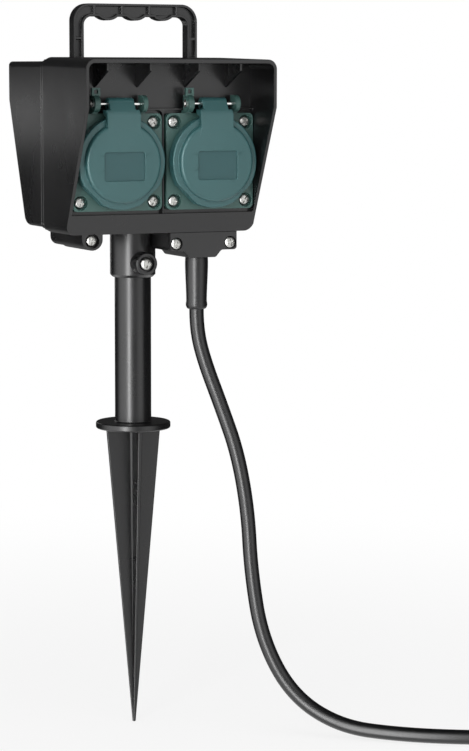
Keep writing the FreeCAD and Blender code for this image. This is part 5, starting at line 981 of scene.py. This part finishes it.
def make_floor():
    """Pale paper that keeps the object's shadow and fades to white away from it."""
    bpy.ops.object.select_all(action="DESELECT")
    bpy.ops.mesh.primitive_plane_add(size=12, location=(0, 0, sizes().floor_height))
    floor = bpy.context.object
    floor.name = "stage_floor"
    bpy.ops.object.transform_apply(location=True, rotation=True, scale=True)
    material = bpy.data.materials.new("white seamless paper")
    tree = empty_tree(material)
    paper = add_node(tree, "ShaderNodeBsdfDiffuse", {"Color": (0.9, 0.9, 0.9, 1)})
    glow = add_node(tree, "ShaderNodeEmission", {"Color": WHITE, "Strength": 1.0})
    path = add_node(tree, "ShaderNodeLightPath")
    place = add_node(tree, "ShaderNodeTexCoord").outputs["Object"]
    middle = (0.0, 0.0, sizes().floor_height)
    away = add_node(tree, "ShaderNodeVectorMath", {0: place, 1: middle}, operation="DISTANCE")
    # Near the object the paper keeps its shadow, further off it fades to even white
    fade = add_node(tree, "ShaderNodeMapRange", {
        "Value": away.outputs["Value"], "From Min": 0.12, "From Max": 0.75, "To Min": 0.80, "To Max": 1.0},
        interpolation_type="SMOOTHSTEP")
    seen = add_node(tree, "ShaderNodeMath", {
        0: path.outputs["Is Camera Ray"], 1: fade.outputs["Result"]}, operation="MULTIPLY")
    mix = add_node(tree, "ShaderNodeMixShader", {
        0: seen.outputs["Value"], 1: paper.outputs["BSDF"], 2: glow.outputs["Emission"]})
    # Gloss looks past the paper, into the studio that the world gives it
    clear = add_node(tree, "ShaderNodeBsdfTransparent", {"Color": WHITE})
    whole = add_node(tree, "ShaderNodeMixShader", {
        0: path.outputs["Is Glossy Ray"], 1: mix.outputs["Shader"], 2: clear.outputs["BSDF"]})
    add_node(tree, "ShaderNodeOutputMaterial", {"Surface": whole.outputs["Shader"]})
    floor.visible_shadow = False
    floor.data.materials.append(material)


def make_world():
    """White for the camera, soft light for the object, and for gloss a studio of tall soft boxes."""
    world = bpy.data.worlds.new("studio")
    bpy.context.scene.world = world
    tree = empty_tree(world)
    path = add_node(tree, "ShaderNodeLightPath")
    way = add_node(tree, "ShaderNodeTexCoord").outputs["Generated"]
    side = add_node(tree, "ShaderNodeSeparateXYZ", {"Vector": way})
    left = add_node(tree, "ShaderNodeMath", {0: side.outputs["X"], 1: -1.0}, operation="MULTIPLY")
    front = add_node(tree, "ShaderNodeMath", {0: side.outputs["Y"], 1: -1.0}, operation="MULTIPLY")
    bearing = add_node(tree, "ShaderNodeMath", {
        0: left.outputs["Value"], 1: front.outputs["Value"]}, operation="ARCTAN2")
    turn = add_node(tree, "ShaderNodeMapRange", {
        "Value": bearing.outputs["Value"], "From Min": -math.pi, "From Max": math.pi})
    boxes = add_node(tree, "ShaderNodeValToRGB", {"Fac": turn.outputs["Result"]})
    stops = boxes.color_ramp.elements
    brightest = max(level for _, level in STUDIO)
    for k, (degrees, level) in enumerate(STUDIO):
        place = (degrees + 180) / 360
        stop = stops[k] if k < 2 else stops.new(place)
        stop.position = place
        stop.color = (*[level / brightest] * 3, 1)
    high = add_node(tree, "ShaderNodeMath", {0: side.outputs["Z"]}, operation="ABSOLUTE")
    # The boxes end above and below
    reach = add_node(tree, "ShaderNodeMapRange", {
        "Value": high.outputs["Value"], "From Min": 0.95, "From Max": 0.45, "To Min": 0.12, "To Max": brightest},
        interpolation_type="SMOOTHSTEP")
    around = add_node(tree, "ShaderNodeBackground", {
        "Color": boxes.outputs["Color"], "Strength": reach.outputs["Result"]})
    # The white table lies below
    below = add_node(tree, "ShaderNodeMapRange", {
        "Value": side.outputs["Z"], "From Min": -0.36, "From Max": -0.66}, interpolation_type="SMOOTHSTEP")
    table, soft, white = (
        add_node(tree, "ShaderNodeBackground", {"Color": WHITE, "Strength": glow}).outputs["Background"]
        for glow in (TABLE_GLOW, SOFT_GLOW, 1.0))
    gloss = add_node(tree, "ShaderNodeMixShader", {
        0: below.outputs["Result"], 1: around.outputs["Background"], 2: table})
    mirrored = add_node(tree, "ShaderNodeMixShader", {
        0: path.outputs["Is Glossy Ray"], 1: soft, 2: gloss.outputs["Shader"]})
    through = add_node(tree, "ShaderNodeMath", {
        0: path.outputs["Is Camera Ray"], 1: path.outputs["Is Transmission Ray"]}, operation="MAXIMUM")
    mix = add_node(tree, "ShaderNodeMixShader", {
        0: through.outputs["Value"], 1: mirrored.outputs["Shader"], 2: white})
    add_node(tree, "ShaderNodeOutputWorld", {"Surface": mix.outputs["Shader"]})


def make_lamps():
    """Soft boxes: key and side light on the left, a broad one in front, one overhead, two small behind."""
    aim = Vector(LAMP_AIM)
    for name, place, size, power in LAMPS:
        lamp = bpy.data.lights.new(name, "AREA")
        lamp.shape = "RECTANGLE"
        lamp.size, lamp.size_y = size
        lamp.energy = power
        obj = linked(name, lamp)
        obj.location = place
        obj.visible_camera = False
        # The far boxes are seen in gloss through the world, the near ones on the left wall and the seam
        obj.visible_glossy = name.startswith("near")
        obj.rotation_mode = "QUATERNION"
        obj.rotation_quaternion = (aim - Vector(place)).to_track_quat("-Z", "Y")


def make_camera():
    """Long lens at the photo's viewing angle."""
    camera = bpy.data.cameras.new("photo camera")
    camera.sensor_width = 36.0
    camera.lens = CAMERA_LENS
    camera.clip_start = 0.05
    camera.clip_end = 50
    obj = linked("photo camera", camera)
    obj.location = CAMERA_PLACE
    way = Vector(CAMERA_WAY)
    turn = Matrix.Rotation(math.radians(CAMERA_ROLL), 4, way)
    obj.rotation_mode = "QUATERNION"
    obj.rotation_quaternion = (turn @ way.to_track_quat("-Z", "Y").to_matrix().to_4x4()).to_quaternion()
    bpy.context.scene.camera = obj


class MakeLead(bpy.types.Operator):
    """Lays the rubber lead: slack from its boot, over the floor, and wound up beside the spike."""

    bl_idname = "socket.make_lead"
    bl_label = "Lead"

    def execute(self, context):
        start = Vector(CORD_POINTS[-1])
        heading = (start - Vector(CORD_POINTS[-2])).normalized()
        left = Vector((-heading.y, heading.x, 0))
        first = start + heading * sizes().cord_diameter
        centre = first + left * COIL_START_R
        angle_0 = math.atan2(-left.y, -left.x)
        inner = COIL_START_R - COIL_PITCH * COIL_TURNS_IN
        total = COIL_TURNS_IN + COIL_CLIMB + COIL_TURNS_OUT
        # The curve runs inside its points by this share of the radius
        spread = 1 / math.cos(math.pi / COIL_STEPS)

        def place(turns, out):
            """Spot on the coil: inwards on the floor, up a layer, outwards on it, and a little up at its end."""
            height = 0.0
            if turns <= COIL_TURNS_IN:
                radius = COIL_START_R - COIL_PITCH * turns
            elif turns <= COIL_TURNS_IN + COIL_CLIMB:
                share = (turns - COIL_TURNS_IN) / COIL_CLIMB
                radius = inner - COIL_PITCH / (2 * math.pi) * math.sin(math.pi * share)
                height = COIL_LAYER * (1 - math.cos(math.pi * share)) / 2
            else:
                done = turns - COIL_TURNS_IN - COIL_CLIMB
                radius = inner + COIL_PITCH * done
                height = COIL_LAYER
                rise = done - (COIL_TURNS_OUT - 0.5)
                if rise > 0:
                    height += COIL_LIFT * (1 - math.cos(2 * math.pi * rise)) / 2
            angle = angle_0 + 2 * math.pi * turns
            return centre + Vector((radius * out * math.cos(angle), radius * out * math.sin(angle), height))

        route = [Vector(point) for point in CORD_POINTS]
        for k in range(int(total * COIL_STEPS)):
            route.append(place((k + 0.5) / COIL_STEPS, spread))
        last = place(total, 1)
        way = last - place(total - 0.001, 1)
        way = Vector((way.x, way.y, 0)).normalized()
        route.append(last + way * sizes().cord_diameter)

        curve = bpy.data.curves.new("rubber_lead", "CURVE")
        curve.dimensions = "3D"
        curve.bevel_depth = sizes().cord_diameter / 2
        curve.bevel_resolution = 6
        curve.resolution_u = 10
        spline = curve.splines.new("NURBS")
        spline.points.add(len(route) - 1)
        for point, spot in zip(spline.points, route):
            point.co = (*spot, 1)
        spline.order_u = 3
        spline.use_endpoint_u = True
        lead = linked("rubber_lead", curve)
        curve.materials.append(finish_of("cord_rubber"))
        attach(lead, "housing")
        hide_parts("cord", "cord_coil")
        self.plug()
        return {"FINISHED"}

    def plug(self):
        """The plug's moulding, its outer edges rounded and the rims round the pins kept sharp."""
        low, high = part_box("plug_body")
        body_middle = (Vector(low) + Vector(high)) / 2
        low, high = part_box("plug_pins")
        pins_middle = (Vector(low) + Vector(high)) / 2
        axis = (pins_middle - body_middle).normalized()

        def outer_edge(middle):
            spot = middle - pins_middle
            along = spot.dot(axis)
            off_axis = (spot - axis * along).length
            return off_axis > PLUG_RIM_R or (off_axis > PLUG_CORE_R and along < PLUG_DISC_BACK)

        piece = whole_copy("plug_body", "rubber_plug")
        round_edges(piece, 0.7 * MM, 3, outer_edge)
        stand_for(piece, "plug_body")


class SocketPanel(bpy.types.Panel):
    """Lists the pieces in the order in which they are made."""

    bl_idname = "VIEW3D_PT_garden_socket"
    bl_label = "Garden socket"
    bl_space_type = "VIEW_3D"
    bl_region_type = "UI"
    bl_category = "Garden socket"

    def draw(self, context):
        column = self.layout.column()
        for operator in OPERATORS:
            column.operator(operator.bl_idname)
        for group in (context.scene.socket_sizes, context.scene.socket_colours):
            for key in group.__annotations__:
                column.prop(group, key)


OPERATORS = (
    MakeStage, MakeCasings, MakeSpike, MakeFlanges, MakeLids, MakeScrews, MakeBoot, MakeLead, DressNodes)
CLASSES = (SocketSizes, SocketColours) + OPERATORS + (SocketPanel,)


def register():
    for item in CLASSES:
        bpy.utils.register_class(item)
    bpy.types.Scene.socket_sizes = bpy.props.PointerProperty(type=SocketSizes)
    bpy.types.Scene.socket_colours = bpy.props.PointerProperty(type=SocketColours)


def unregister():
    del bpy.types.Scene.socket_colours
    del bpy.types.Scene.socket_sizes
    for item in reversed(CLASSES):
        bpy.utils.unregister_class(item)


def main():
    """Makes the pieces in order."""
    register()
    bpy.ops.socket.make_stage()
    bpy.ops.socket.make_casings()
    bpy.ops.socket.make_spike()
    bpy.ops.socket.make_flanges()
    bpy.ops.socket.make_lids()
    bpy.ops.socket.make_screws()
    bpy.ops.socket.make_boot()
    bpy.ops.socket.make_lead()
    bpy.ops.socket.dress_nodes()


if __name__ == "__main__":
    main()
